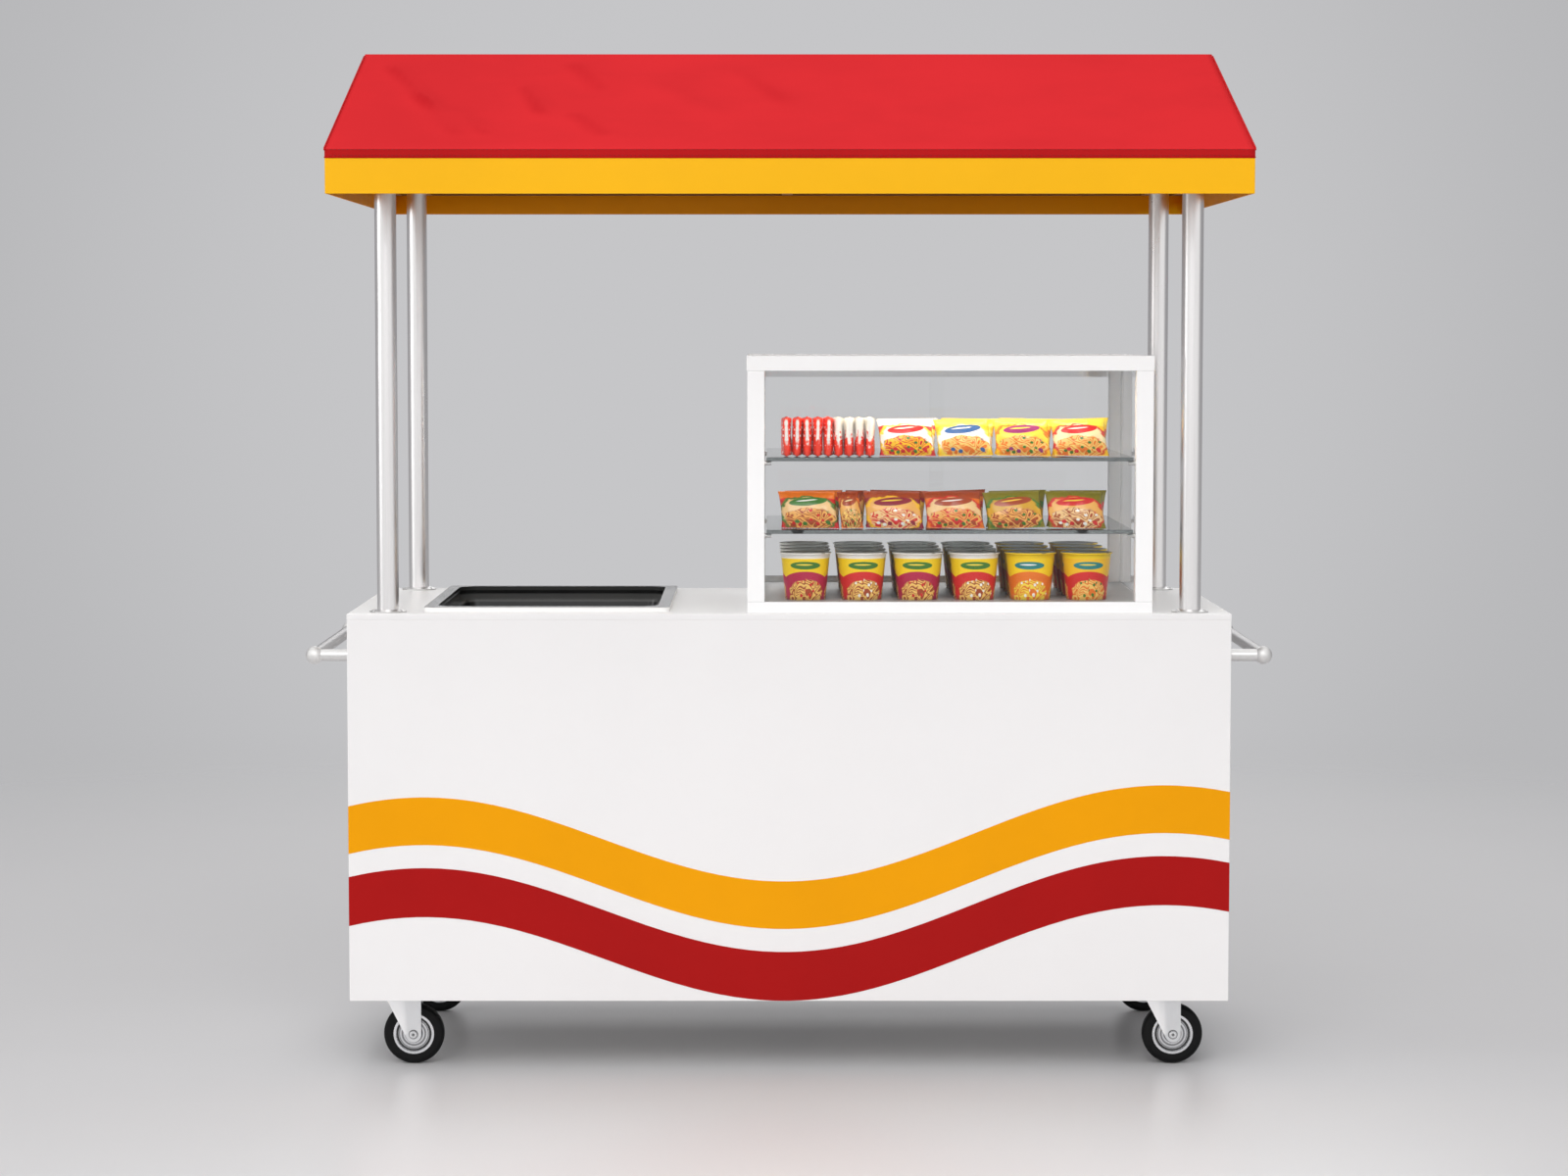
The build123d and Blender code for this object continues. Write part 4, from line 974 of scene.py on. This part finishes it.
pack_colours = ["Ground", "Top", "Outline", "Splash", "Strand", "Strand Shade"]
pack_colours += ["Badge", "Badge Light", "Garnish"]
pack_print, given, made = new_print("pack_print", pack_colours)
flat, u, v, ripple = flat_map(pack_print)
tilted = sums("MULTIPLY_ADD", u, -0.14, v)
bowl = ellipse(u, v, (0.5, 0.24), (0.62, 0.38), wobble=ripple)
layers = [
    (step(sums("MULTIPLY_ADD", ripple, 0.1, v), 0.82, 0.86), "Top"),
    (ellipse(u, v, (0.5, 0.40), (0.80, 0.64), wobble=ripple), "Outline"),
    (ellipse(u, v, (0.5, 0.40), (0.72, 0.56), wobble=ripple), "Splash"),
    (bowl, "Strand Shade"),
    (sums("MULTIPLY", curly_strands(flat, 4.0), bowl), "Strand"),
    (sums("MULTIPLY", garnish(flat, 9.0, 0.55), bowl), "Garnish"),
    (sums("MULTIPLY", garnish(flat, 7.0, 0.72), bowl), "Badge"),
    (ellipse(u, tilted, (0.5, 0.62), (0.36, 0.12)), "Badge"),
    (ellipse(u, tilted, (0.48, 0.65), (0.22, 0.022), 0.3), "Badge Light"),
]
lay_colours(pack_print, given, made, "Ground", layers)

# %% [markdown]
# Pack film is thin glossy plastic, so it shines in small broken highlights. The shape carries the large
# creases, and a fine noise in the bump gives the crinkle of the film, which would take far too many faces
# as a mesh.


# %% Printed film
def printed(name, group, colours, crinkle_scale, crinkle_depth, **sockets):
    """Material whose colour is a print group in the given colours, over a fine crinkle."""
    material = new_finish(name, **sockets)
    inks = {place: screen(*colour) for place, colour in enumerate(colours)}
    ink = place_group(material, group, inks)["Colour"]
    feed(shader_of(material).inputs["Base Color"], ink)
    crinkle = cloudy(on_piece(material.node_tree), crinkle_scale, detail=3.0, distortion=1.2)
    bump = follow("ShaderNodeBump", {"Strength": 0.5, "Distance": crinkle_depth, "Height": crinkle})
    feed(shader_of(material).inputs["Normal"], bump.outputs[0])
    return material


def film(name, group, colours):
    """Printed film of one kind of pack."""
    return printed(f"film_{name}", group, colours, 90.0, 0.8 * MM, Roughness=0.22, Coat_Weight=0.2)


print("film functions ready")

# %% [markdown]
# The prints use a small set of inks. The upper packs are white, yellow and gold, and the middle ones
# darker: red, rust, wine and olive. Naming the inks once keeps the kinds of pack in tune with each other.

# %% Kinds of film
WHITE = (252, 248, 240)
CREAM = (252, 234, 180)
GOLD = (252, 196, 22)
LEMON = (254, 222, 70)
ORANGE = (240, 120, 22)
RED = (218, 30, 30)
WINE = (142, 22, 46)
OLIVE = (132, 122, 20)
GREEN = (60, 120, 36)
RUST = (170, 66, 22)
SAND = (250, 206, 110)
STRAW = (242, 178, 88)
BISCUIT = (246, 204, 142)
OCHRE = (218, 164, 30)
BLUE = (50, 96, 160)
PLUM = (150, 40, 110)
film_kinds = {
    "scarlet": (RED, WHITE, LEMON, WHITE, GOLD, RED, RED, WHITE, GREEN),
    "sunny": (GOLD, LEMON, LEMON, WHITE, SAND, ORANGE, BLUE, WHITE, ORANGE),
    "garden": (GOLD, LEMON, ORANGE, LEMON, SAND, ORANGE, PLUM, LEMON, GREEN),
    "golden": (GOLD, LEMON, RED, CREAM, SAND, ORANGE, RED, WHITE, GREEN),
    "brick": (RED, ORANGE, GREEN, BISCUIT, STRAW, RUST, GREEN, WHITE, RED),
    "amber": (ORANGE, RUST, RUST, STRAW, SAND, RUST, RUST, CREAM, GREEN),
    "wine": (WINE, RUST, GOLD, STRAW, BISCUIT, RED, WINE, LEMON, WHITE),
    "tangerine": (ORANGE, RUST, RED, BISCUIT, STRAW, RED, RUST, WHITE, GREEN),
    "olive": (OLIVE, OLIVE, GREEN, OCHRE, STRAW, RUST, RUST, LEMON, GREEN),
    "olive_red": (OLIVE, OLIVE, RED, STRAW, BISCUIT, RUST, RED, LEMON, WHITE),
}
films = {name: film(name, pack_print, colours) for name, colours in film_kinds.items()}
print(len(films), "kinds of printed film")

# %% [markdown]
# The slim packs show their sides. Their film is red with a ragged white stripe along the folded side,
# which is a painted highlight on the fold, and a few bright flecks of print. One kind has a white top, a
# painted highlight of the lamp above. The stripe lies where the flat map is near its left or right edge,
# which is where the film is folded.

# %% Striped film group
edge_print, given, made = new_print("edge_print", ["Ground", "Top", "Stripe"])
flat, u, v, ripple = flat_map(edge_print)
from_fold = sums("ABSOLUTE", sums("SUBTRACT", u, 0.5))
from_fold = sums("MULTIPLY_ADD", ripple, 0.05, sums("SUBTRACT", 0.5, from_fold))
flames = cloudy(on_piece(edge_print), 110.0, detail=1.0)
ragged_top = sums("ADD", flames, v)
ragged_foot = sums("MULTIPLY_ADD", flames, 0.6, v)
rise = sums("MULTIPLY", step(ragged_foot, 0.55, 0.75), step(v, 0.97, 0.9))
layers = [
    # painted highlight: the white top of one kind and the white stripe along the fold; the flecks are
    # print
    (step(ragged_top, 0.98, 1.06), "Top"),
    (sums("MULTIPLY", step(from_fold, 0.057, 0.035), rise), "Stripe"),
    (garnish(flat, 11.0, 0.5), "Stripe"),
]
lay_colours(edge_print, given, made, "Ground", layers)
FLAME = (250, 62, 36)
edge_kinds = {"striped": (FLAME, FLAME, WHITE), "white_top": (FLAME, WHITE, WHITE)}
film_edges = [film(name, edge_print, colours) for name, colours in edge_kinds.items()]
print(len(film_edges), "kinds of striped film")

# %% [markdown]
# ## Filled packs
# A pillow pack is a tube of film with a flat crimped seal at each end. It swells in the middle, its sides
# are drawn in, creases run out from the seals, and the cut ends of the seals are toothed. A pressure
# simulation could blow up each pack, but takes long and leaves the seals soft. Here front and back are
# two grids that meet at the sides, and the numbers come from the pack's own size, so one function makes
# them all.

# %% Pack shape
pack_seal = 4.5 * MM
pack_columns = 41
pack_lines = 27


def pack_skin(width, height, thickness, seed, face, fullness, seal):
    """Rows of points of one face of a pillow pack on Z = 0, facing -Y for face -1 and +Y for face 1."""
    rows = []
    for i in range(pack_lines):
        share = i / (pack_lines - 1)
        z = height * share
        body = min(1.0, max(0.0, (z - seal) / (height - 2 * seal)))
        swell = math.sin(math.pi * body) ** fullness if 0 < body < 1 else 0.0
        crease = math.exp(-7 * min(body, 1 - body)) if swell else 0.0
        half = width / 2 - 0.022 * width * swell
        row = []
        for j in range(pack_columns):
            across = 2 * j / (pack_columns - 1) - 1
            round_off = max(0.0, 1 - abs(across) ** 3.2) ** 0.5
            gathers = math.sin(across * 13 + seed * 2.1 + face) + 0.7 * math.sin(across * 23 + seed * 3.7)
            dents = noise.noise(Vector((across * 2.4 + seed * 5.3, share * 2.8, face * 3.7 + seed)))
            depth = thickness / 2 * swell + 1.1 * MM * crease * gathers + 2.4 * MM * (dents - 0.4) * swell
            tooth = 1.1 * MM * (j % 2) if i in (0, pack_lines - 1) else 0.0
            film_gap = 0.25 * MM * (1 - abs(across) ** 8)
            depth = min(thickness / 2, max(0.0, depth)) * round_off + film_gap
            row.append(Vector((across * half, face * depth, z + tooth if i == 0 else z - tooth)))
        rows.append(row)
    return rows


def add_pack(build, width, height, thickness, seed, place, finish, fullness=0.5, seal=pack_seal):
    """Add one closed pillow pack to a bmesh, put where place says."""
    flats = []
    for i in range(pack_lines):
        flats.append([(j / (pack_columns - 1), i / (pack_lines - 1)) for j in range(pack_columns)])
    for face in (-1, 1):
        skin = pack_skin(width, height, thickness, seed, face, fullness, seal)
        add_grid(build, [[place @ point for point in row] for row in skin], flats, finish)


def pack_piece(name, build, node, materials):
    """Close a bmesh of packs and make it a piece that takes the place of the solid packs."""
    bmesh.ops.remove_doubles(build, verts=build.verts, dist=0.02 * MM)
    made = piece(name, build, "cart", materials)
    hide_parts(node)
    print(name, "has", len(made.data.polygons), "faces")


print("a pack has", 2 * (pack_columns - 1) * (pack_lines - 1), "faces")

# %% [markdown]
# The packs stand on the glass shelves where the solid ones stood. Those on show face the customer and
# lean back on the row behind, each turned a little differently, as packs are when they are set out by
# hand. Their loose filling makes them sag, one row to each side, which a shear of the whole pack gives.

# %% Leaning packs
pack_height = 80 * MM
pack_thickness = 30 * MM
pack_lean = math.radians(16)
pack_sag = 0.11
pack_row_pitch = 62 * MM
pack_spare = 1 * MM
pack_lift = 1.5 * MM
pack_inset = 4 * MM
upper_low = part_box("upper_packs")[0]
middle_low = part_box("middle_packs")[0]


def leaning_rows(places, low):
    """Two rows of leaning packs in a bmesh. places holds (x, width) for the front row."""
    build = bmesh.new()
    belly = pack_thickness / 2 * math.cos(pack_lean) - pack_height / 2 * math.sin(pack_lean)
    for row in range(2):
        sagged = Matrix.Shear("XY", 4, (-pack_sag if row == 0 else pack_sag, 0.0))
        for number, (x, width) in enumerate(places):
            seed = number * 1.7 + row * 11.3
            yaw = math.radians(5) * noise.noise(Vector((seed, 0.3, 0.7)))
            roll = math.radians(4) * noise.noise(Vector((seed, 5.3, 2.7)))
            y = low.y + belly + pack_inset + row * pack_row_pitch
            foot = Matrix.Translation((x, y, low.z + pack_lift))
            turn = Matrix.Rotation(yaw, 4, "Z") @ Matrix.Rotation(-pack_lean, 4, "X")
            place = foot @ turn @ sagged @ Matrix.Rotation(roll, 4, "Y")
            add_pack(build, width - pack_spare, pack_height - 2 * MM, pack_thickness, seed, place, number)
    return build


upper_kinds = [films[name] for name in ("scarlet", "sunny", "garden", "golden")]
upper_first_x, upper_pitch, upper_width = 0.243, 0.118, 114 * MM
upper_places = [(upper_first_x + upper_pitch * i, upper_width) for i in range(4)]
upper_build = leaning_rows(upper_places, upper_low)
pack_piece("upper_front_packs", upper_build, "upper_packs", upper_kinds)
middle_kinds = [films[name] for name in ("brick", "amber", "wine", "tangerine", "olive", "olive_red")]
middle_first_x, middle_pitch, middle_width = 0.217, 0.124, 119 * MM
single_x, narrow_x, narrow_width = 0.044, 0.130, 46 * MM
middle_places = [(single_x, middle_width), (narrow_x, narrow_width)]
middle_places += [(middle_first_x + middle_pitch * i, middle_width) for i in range(4)]
middle_build = leaning_rows(middle_places, middle_low)
pack_piece("middle_front_packs", middle_build, "middle_packs", middle_kinds)

# %% [markdown]
# At the left end of the upper shelf a row of slim packs stands on edge, side by side. They are the same
# pillow, turned by a quarter, fuller and with a much narrower seal.

# %% Slim packs on edge
slim_count = 9
slim_striped = 5
slim_pitch = 21.3 * MM
slim_first_x = -5 * MM
slim_inset = 50 * MM
slim_lift = 0.5 * MM
slim_size = (100 * MM - pack_spare, pack_height, 21.2 * MM)
slim_build = bmesh.new()
for i in range(slim_count):
    x = slim_first_x + slim_pitch * i
    foot = Matrix.Translation((x, upper_low.y + slim_inset, upper_low.z + slim_lift))
    turn = Matrix.Rotation(math.radians(90 + 2 * noise.noise(Vector((i * 1.3, 0.2, 0.9)))), 4, "Z")
    lean = Matrix.Rotation(math.radians(2) * noise.noise(Vector((i * 2.1, 3.2, 0.4))), 4, "X")
    kind = i // slim_striped
    add_pack(slim_build, *slim_size, 31 + i, foot @ turn @ lean, kind, fullness=0.04, seal=0.4 * MM)
pack_piece("upper_slim_packs", slim_build, "upper_packs", film_edges)

# %% [markdown]
# ## Paper cups
# A paper cup is a tapered tube with a rolled lip, a recessed foot and a peel-off lid with a small tab.
# Its print repeats three times round it: white at the lip, a bright band with a bare badge, and a darker
# body with a serving of curly strands. It takes the same shapes as the packs, read at a share of the way
# round.

# %% Cup print group
cup_colours = ["Lip", "Band", "Body", "Strand", "Strand Shade", "Badge", "Badge Light", "Garnish"]
cup_print, given, made = new_print("cup_print", cup_colours)
flat, u, v, ripple = flat_map(cup_print)
cup_prints = 3
around = sums("FRACT", sums("MULTIPLY", u, cup_prints))
from_front = sums("SUBTRACT", around, 0.5)
arch = sums("MULTIPLY_ADD", sums("MULTIPLY", from_front, from_front), 0.5, v)
serving = ellipse(around, v, (0.5, 0.08), (0.62, 0.52), wobble=ripple)
wide = vectors("MULTIPLY", flat, (3.2, 1.0, 1.0))
layers = [
    (step(arch, 0.60, 0.615), "Band"),
    (step(v, 0.875, 0.885), "Lip"),
    (serving, "Strand Shade"),
    (sums("MULTIPLY", curly_strands(wide, 3.6), serving), "Strand"),
    (sums("MULTIPLY", garnish(wide, 9.0, 0.5), serving), "Garnish"),
    (ellipse(around, v, (0.5, 0.735), (0.34, 0.085)), "Badge"),
    (ellipse(around, v, (0.48, 0.752), (0.2, 0.018), 0.3), "Badge Light"),
]
lay_colours(cup_print, given, made, "Body", layers)

# %% [markdown]
# Coated paper is smoother and stiffer than film, so its crinkle is finer and hardly raised. The lids are
# dull brownish foil, one finish for all the cups.

# %% Cup finishes
MAGENTA = (186, 20, 70)
TEAL = (30, 130, 130)
YELLOW = (255, 214, 6)
cup_papers = {
    "magenta": (WHITE, YELLOW, MAGENTA, SAND, RUST, GREEN, LEMON, RED),
    "crimson": (WHITE, YELLOW, RED, SAND, RUST, GREEN, LEMON, WHITE),
    "amber": (YELLOW, YELLOW, ORANGE, LEMON, ORANGE, TEAL, WHITE, WHITE),
    "yellow": (YELLOW, GOLD, RED, SAND, ORANGE, TEAL, LEMON, GREEN),
}
paper_gloss = {"Roughness": 0.34, "Coat_Weight": 0.1}
cup_kinds = []
for name, colours in cup_papers.items():
    cup_kinds.append(printed(f"cup_{name}", cup_print, colours, 900.0, 0.05 * MM, **paper_gloss))
lid_finish = len(cup_kinds)
cup_kinds.append(satin("lid_foil", screen(122, 106, 84), 0.88, 0.3, 0.45))
print(len(cup_papers), "kinds of cup and a lid")

# %% [markdown]
# The cup is a turned shape, so its half outline is drawn once and spun. A screw modifier could spin it,
# but here each ring also gets its place on the flat map for the print. The outline runs from the middle
# of the recessed foot up the wall, round the lip and over the lid.

# %% Cup outline
cups_low, cups_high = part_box("noodle_cups")
cup_height = cups_high.z - cups_low.z
cup_top_radius = 52 * MM
cup_base_radius = 41 * MM
lip_radius = 1.6 * MM
cup_sides = 40
wall_top = cup_height - 2 * lip_radius
cup_points = [(0.0, 3 * MM), (cup_base_radius - 2.5 * MM, 3 * MM), (cup_base_radius - 1.5 * MM, 0.0)]
cup_points.append((cup_base_radius, 0.0))
for i in range(1, 9):
    wall_radius = cup_base_radius + (cup_top_radius - lip_radius - cup_base_radius) * i / 8
    cup_points.append((wall_radius, wall_top * i / 8))
lid_start = len(cup_points) + 4
for i in range(1, 7):
    angle = math.radians(-90 + 30 * i)
    reach = cup_top_radius + lip_radius * math.cos(angle) - 0.2 * MM
    cup_points.append((reach, wall_top + lip_radius + lip_radius * math.sin(angle)))
cup_points += [(cup_top_radius - 3 * MM, cup_height - 1.2 * MM), (0.0, cup_height - 1.6 * MM)]
print("a cup's outline has", len(cup_points), "points")

# %% [markdown]
# Four rows of six cups fill the case's floor, each turned a little, as they are when they are put down by
# hand. The tab of a lid is a thin tongue past the lip, made of two six-sided rings.


# %% Rows of cups
def add_cup(build, middle, turn, kind):
    """Spin the cup's outline about a vertical axis at middle, and add it to a bmesh with its flat map."""
    rows = []
    flats = []
    tallest = max(z for _, z in cup_points)
    for radius, z in cup_points:
        ring = [2 * math.pi * k / cup_sides + turn for k in range(cup_sides + 1)]
        rows.append([middle + Vector((radius * math.sin(a), -radius * math.cos(a), z)) for a in ring])
        flats.append([(k / cup_sides + 0.5 / cup_prints, z / tallest) for k in range(cup_sides + 1)])
    for i in range(len(rows) - 1):
        add_grid(build, rows[i : i + 2], flats[i : i + 2], lid_finish if i >= lid_start else kind)


def add_tab(build, middle, bearing):
    """Add the lid's thin pull tab, a short tongue past the lip."""
    start = cup_top_radius - 1 * MM
    near, far = start + 4 * MM, start + 6 * MM
    plan = [(start, -4), (near, -4), (far, -2), (far, 2), (near, 4), (start, 4)]
    turn = Matrix.Translation(middle) @ Matrix.Rotation(bearing, 4, "Z")
    levels = (cup_height - 0.7 * MM, cup_height - 0.3 * MM)
    add_rings(build, [[turn @ Vector((x, y * MM, z)) for x, y in plan] for z in levels], lid_finish)


cup_order = [0, 1, 0, 1, 2, 3]
cup_first_x = 34 * MM
cup_pitch = 115.6 * MM
cup_row_pitch = 112 * MM
cup_row_count = 4
cups = bmesh.new()
for row in range(cup_row_count):
    for column, kind in enumerate(cup_order):
        y = cups_low.y + cup_top_radius + lip_radius + cup_row_pitch * row
        middle = Vector((cup_first_x + cup_pitch * column, y, cups_low.z))
        turn = math.radians(14) * noise.noise(Vector((column * 1.9, row * 2.3, 0.5)))
        add_cup(cups, middle, turn, kind)
        add_tab(cups, middle, math.radians(-45) + 3 * turn)
bmesh.ops.remove_doubles(cups, verts=cups.verts, dist=0.02 * MM)
cup_rows = piece("paper_cups", cups, "cart", cup_kinds)
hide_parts("noodle_cups")
print(cup_row_count * len(cup_order), "cups,", len(cup_rows.data.polygons), "faces")

# %% [markdown]
# ## Screws and bolts
# The small fasteners are low domed heads with a six-sided socket. They could be cut from a ball with a
# boolean, but stacked rings give cleaner faces. The ring of the socket is a hexagon with as many points
# as the round ones, so that each ring joins the next.


# %% Screw heads
def hexagon(angle, flat_radius):
    """Distance from the middle to the side of a hexagon at an angle."""
    return flat_radius / math.cos((angle % (math.pi / 3)) - math.pi / 6)


def add_screw(build, place, radius, height):
    """Add a domed socket screw to a bmesh. place maps a screw standing on Z = 0 to where it goes."""
    sides = 24
    profile = [(1.0, 0.0, 0), (1.0, 0.35, 0), (0.86, 0.75, 0), (0.62, 0.97, 0), (0.5, 1.0, 0)]
    profile += [(0.4, 1.0, 1), (0.4, 0.35, 1)]
    rings = []
    for share, rise, six in profile:
        ring = []
        for k in range(sides):
            angle = 2 * math.pi * k / sides
            away = hexagon(angle, share * radius) if six else share * radius
            ring.append(place @ Vector((away * math.cos(angle), away * math.sin(angle), rise * height)))
        rings.append(ring)
    add_rings(build, rings)


def screws(name, body, places, radius, height):
    """One piece with a screw at each place."""
    build = bmesh.new()
    for place in places:
        add_screw(build, place, radius, height)
    made = piece(name, build, body, screw_steel)
    made.modifiers.new("crisp", "EDGE_SPLIT").split_angle = math.radians(40)
    print(name, len(places))


print("screw functions ready")

# %% [markdown]
# Three screws hold each post flange on the counter and each socket under the canopy, and four larger
# bolts each caster plate. The places follow the pieces: a circle round each post, and a rectangle on each
# plate.

# %% Flange screws and caster bolts
post_x, post_y = 820 * MM, 330 * MM
screw_circle = 31.5 * MM
flange_rim = 2.9 * MM
facing_down = Matrix.Rotation(math.radians(180), 4, "X")
flange_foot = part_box("post_flanges")[0].z + flange_rim
socket_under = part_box("canopy_sockets")[1].z - flange_rim
flange_places = []
for x in (-post_x, post_x):
    for y in (-post_y, post_y):
        for angle in (math.radians(90), math.radians(210), math.radians(330)):
            away = Vector((x + screw_circle * math.cos(angle), y + screw_circle * math.sin(angle), 0))
            flange_places.append(Matrix.Translation(away + Vector((0, 0, flange_foot))))
            flange_places.append(Matrix.Translation(away + Vector((0, 0, socket_under))) @ facing_down)
screws("flange_screws", "cart", flange_places, 4 * MM, 2.4 * MM)
caster_x, caster_y = 785 * MM, 290 * MM
bolt_x, bolt_y = 40 * MM, 30 * MM
plate_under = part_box("caster_plates")[1].z - 4 * MM
bolt_places = []
for x in (-caster_x - bolt_x, -caster_x + bolt_x, caster_x - bolt_x, caster_x + bolt_x):
    for y in (-caster_y - bolt_y, -caster_y + bolt_y, caster_y - bolt_y, caster_y + bolt_y):
        bolt_places.append(Matrix.Translation((x, y, plate_under)) @ facing_down)
screws("caster_bolts", "cart", bolt_places, 6.5 * MM, 4.5 * MM)

# %% [markdown]
# Each hinge has three screws in either leaf. Those in the door's leaf ride on the door, so that they
# swing with it. Two screws hold each rosette of the handles to the end panels.

# %% Hinge and rosette screws
leaf_face = 377 * MM
door_leaf_x, panel_leaf_x = 865.7 * MM, 893.5 * MM
hinge_rows = [(low + up) * MM for low in (242, 760) for up in (12, 35, 58)]
facing_back = Matrix.Rotation(math.radians(-90), 4, "X")


def leaf_screws(x):
    """Places of the screws in the leaves at x."""
    return [Matrix.Translation((x, leaf_face, z)) @ facing_back for z in hinge_rows]


for side, door in ((-1, "left_door"), (1, "right_door")):
    screws(f"{door}_hinge_screws", door, leaf_screws(side * door_leaf_x), 3 * MM, 1.4 * MM)
panel_places = leaf_screws(-panel_leaf_x) + leaf_screws(panel_leaf_x)
screws("panel_hinge_screws", "cart", panel_places, 3 * MM, 1.4 * MM)
rosette_x, rosette_y, rosette_z = 904 * MM, 315 * MM, 850 * MM
rosette_step = 17.5 * MM
rosette_places = []
for side in (-1, 1):
    outward = Matrix.Rotation(side * math.radians(90), 4, "Y")
    for y in (-rosette_y, rosette_y):
        for z in (rosette_z - rosette_step, rosette_z + rosette_step):
            rosette_places.append(Matrix.Translation((side * rosette_x, y, z)) @ outward)
screws("rosette_screws", "cart", rosette_places, 3.2 * MM, 1.8 * MM)

# %% [markdown]
# ## Studio
# The cart stands on pale grey paper. A bent backdrop would give a seamless ground from one side only. A
# round floor that fades out with distance has no far edge from any side, and still takes the cart's
# shadow and a soft reflection.

# %% Floor
floor_radius = 9.0
fade_start, fade_end = 2.6, 6.5
floor_mesh = bpy.data.meshes.new("studio_floor")
floor_build = bmesh.new()
bmesh.ops.create_circle(floor_build, cap_ends=True, radius=floor_radius, segments=96)
floor_build.to_mesh(floor_mesh)
floor_build.free()
floor = bpy.data.objects.new("studio_floor", floor_mesh)
bpy.context.scene.collection.objects.link(floor)
floor_paper = new_finish("floor_paper", Roughness=0.32)
place = on_piece(floor_paper.node_tree)
mottle = cloudy(place, 0.8, detail=3.0)
paper = mix_colour(mottle, screen(213, 212, 213), screen(218, 217, 218))
feed(shader_of(floor_paper).inputs["Base Color"], paper)
fade = sums("SUBTRACT", 1.0, step(vectors("LENGTH", place), fade_start, fade_end))
feed(shader_of(floor_paper).inputs["Alpha"], fade)
floor_mesh.materials.append(floor_paper)
print("floor radius", floor_radius, "m, fading from", fade_start, "m")

# %% [markdown]
# The backdrop is the world's colour. The camera sees it as a grey that is a little lighter behind the
# cart, also through glass. Metal sees a studio with a bright panel in front and one overhead, which
# draws the light and dark lines along the posts and handles. Matt surfaces get a plain soft fill,
# stronger from the front left. One plain colour could not do all three, so the kind of ray chooses.

# %% Backdrop and fill light
world = bpy.data.worlds.new("studio")
bpy.context.scene.world = world
world.use_nodes = True
tree = world.node_tree
tree.nodes.clear()
heading = on_piece(tree, "Generated")


def towards(direction, low, high):
    """Socket that climbs from 0 to 1 as a ray turns towards a direction."""
    return step(vectors("DOT_PRODUCT", heading, direction), low, high)


def dull(level, blue=0.0):
    """Grey of a light level, with a little blue if wanted."""
    return (level, level, level + blue, 1.0)


rays = add(tree, "ShaderNodeLightPath").outputs
seen = sums("MAXIMUM", rays["Is Camera Ray"], rays["Is Transmission Ray"])
grey = mix_colour(towards((0, 1, 0), 0.972, 0.998), screen(184, 184, 186), screen(198, 198, 200))
fill = mix_colour(towards((-0.7, -0.7, 0.1), -1.0, 0.9), dull(0.2, 0.01), dull(1.0))
lit_panel = sums("MAXIMUM", towards((0, -1, 0), 0.05, 0.45), towards((0, 0, 1), 0.4, 0.8))
panels = mix_colour(lit_panel, dull(0.3, 0.01), dull(0.95))
above = mix_colour(rays["Is Glossy Ray"], fill, panels)
below = mix_colour(rays["Is Glossy Ray"], dull(0.06), dull(0.5))
around = mix_colour(towards((0, 0, 1), -0.2, 0.02), below, above)
fill_light = follow("ShaderNodeBackground", {"Color": around}).outputs[0]
backdrop = follow("ShaderNodeBackground", {"Color": grey}).outputs[0]
chosen = follow("ShaderNodeMixShader", {0: seen, 1: fill_light, 2: backdrop}).outputs[0]
follow("ShaderNodeOutputWorld", {"Surface": chosen})
print("backdrop and fill ready")

# %% [markdown]
# Large soft lamps stand in front, above, behind and at the sides, and a small one lights the floor in
# front of the cart. Their power was set so that white laminate renders as white laminate and no pale
# surface burns out. Two of them don't show in metal, because their mirror images would cut the posts into
# stripes.


# %% Soft lamps
def soft_lamp(name, place, aim, size, power):
    """Rectangular soft lamp at a place, turned towards a point."""
    lamp_data = bpy.data.lights.new(name, "AREA")
    lamp_data.shape = "RECTANGLE"
    lamp_data.size, lamp_data.size_y = size
    lamp_data.energy = power
    lamp = bpy.data.objects.new(name, lamp_data)
    lamp.location = place
    lamp.visible_camera = False
    lamp.rotation_euler = (Vector(aim) - Vector(place)).to_track_quat("-Z", "Y").to_euler()
    bpy.context.scene.collection.objects.link(lamp)
    return lamp


soft_lamp("front_lamp", (-0.6, -5.5, 4.3), (0, 0, 1.0), (4.5, 2.6), 102)
soft_lamp("top_lamp", (0.0, 0.2, 5.2), (0, 0, 0), (4.5, 3.5), 22)
soft_lamp("left_lamp", (-4.4, -1.6, 2.4), (0, 0, 1.0), (1.6, 3.0), 24)
right_lamp = soft_lamp("right_lamp", (4.4, -1.6, 2.4), (0, 0, 1.0), (1.6, 3.0), 24)
right_lamp.visible_glossy = False
floor_lamp = soft_lamp("floor_lamp", (0.0, -2.1, 2.4), (0, -1.6, 0), (2.6, 0.6), 3.2)
floor_lamp.data.spread = math.radians(60)
floor_lamp.visible_glossy = False
soft_lamp("rear_lamp", (0.4, 5.2, 3.4), (0, 0, 0.9), (4.0, 1.8), 55)
print("six soft lamps")

# %% [markdown]
# ## Finish
# The picture is shown with plain tone, so that a colour looks as it is written.

# %% Plain tone
bpy.context.scene.view_settings.view_transform = "Standard"
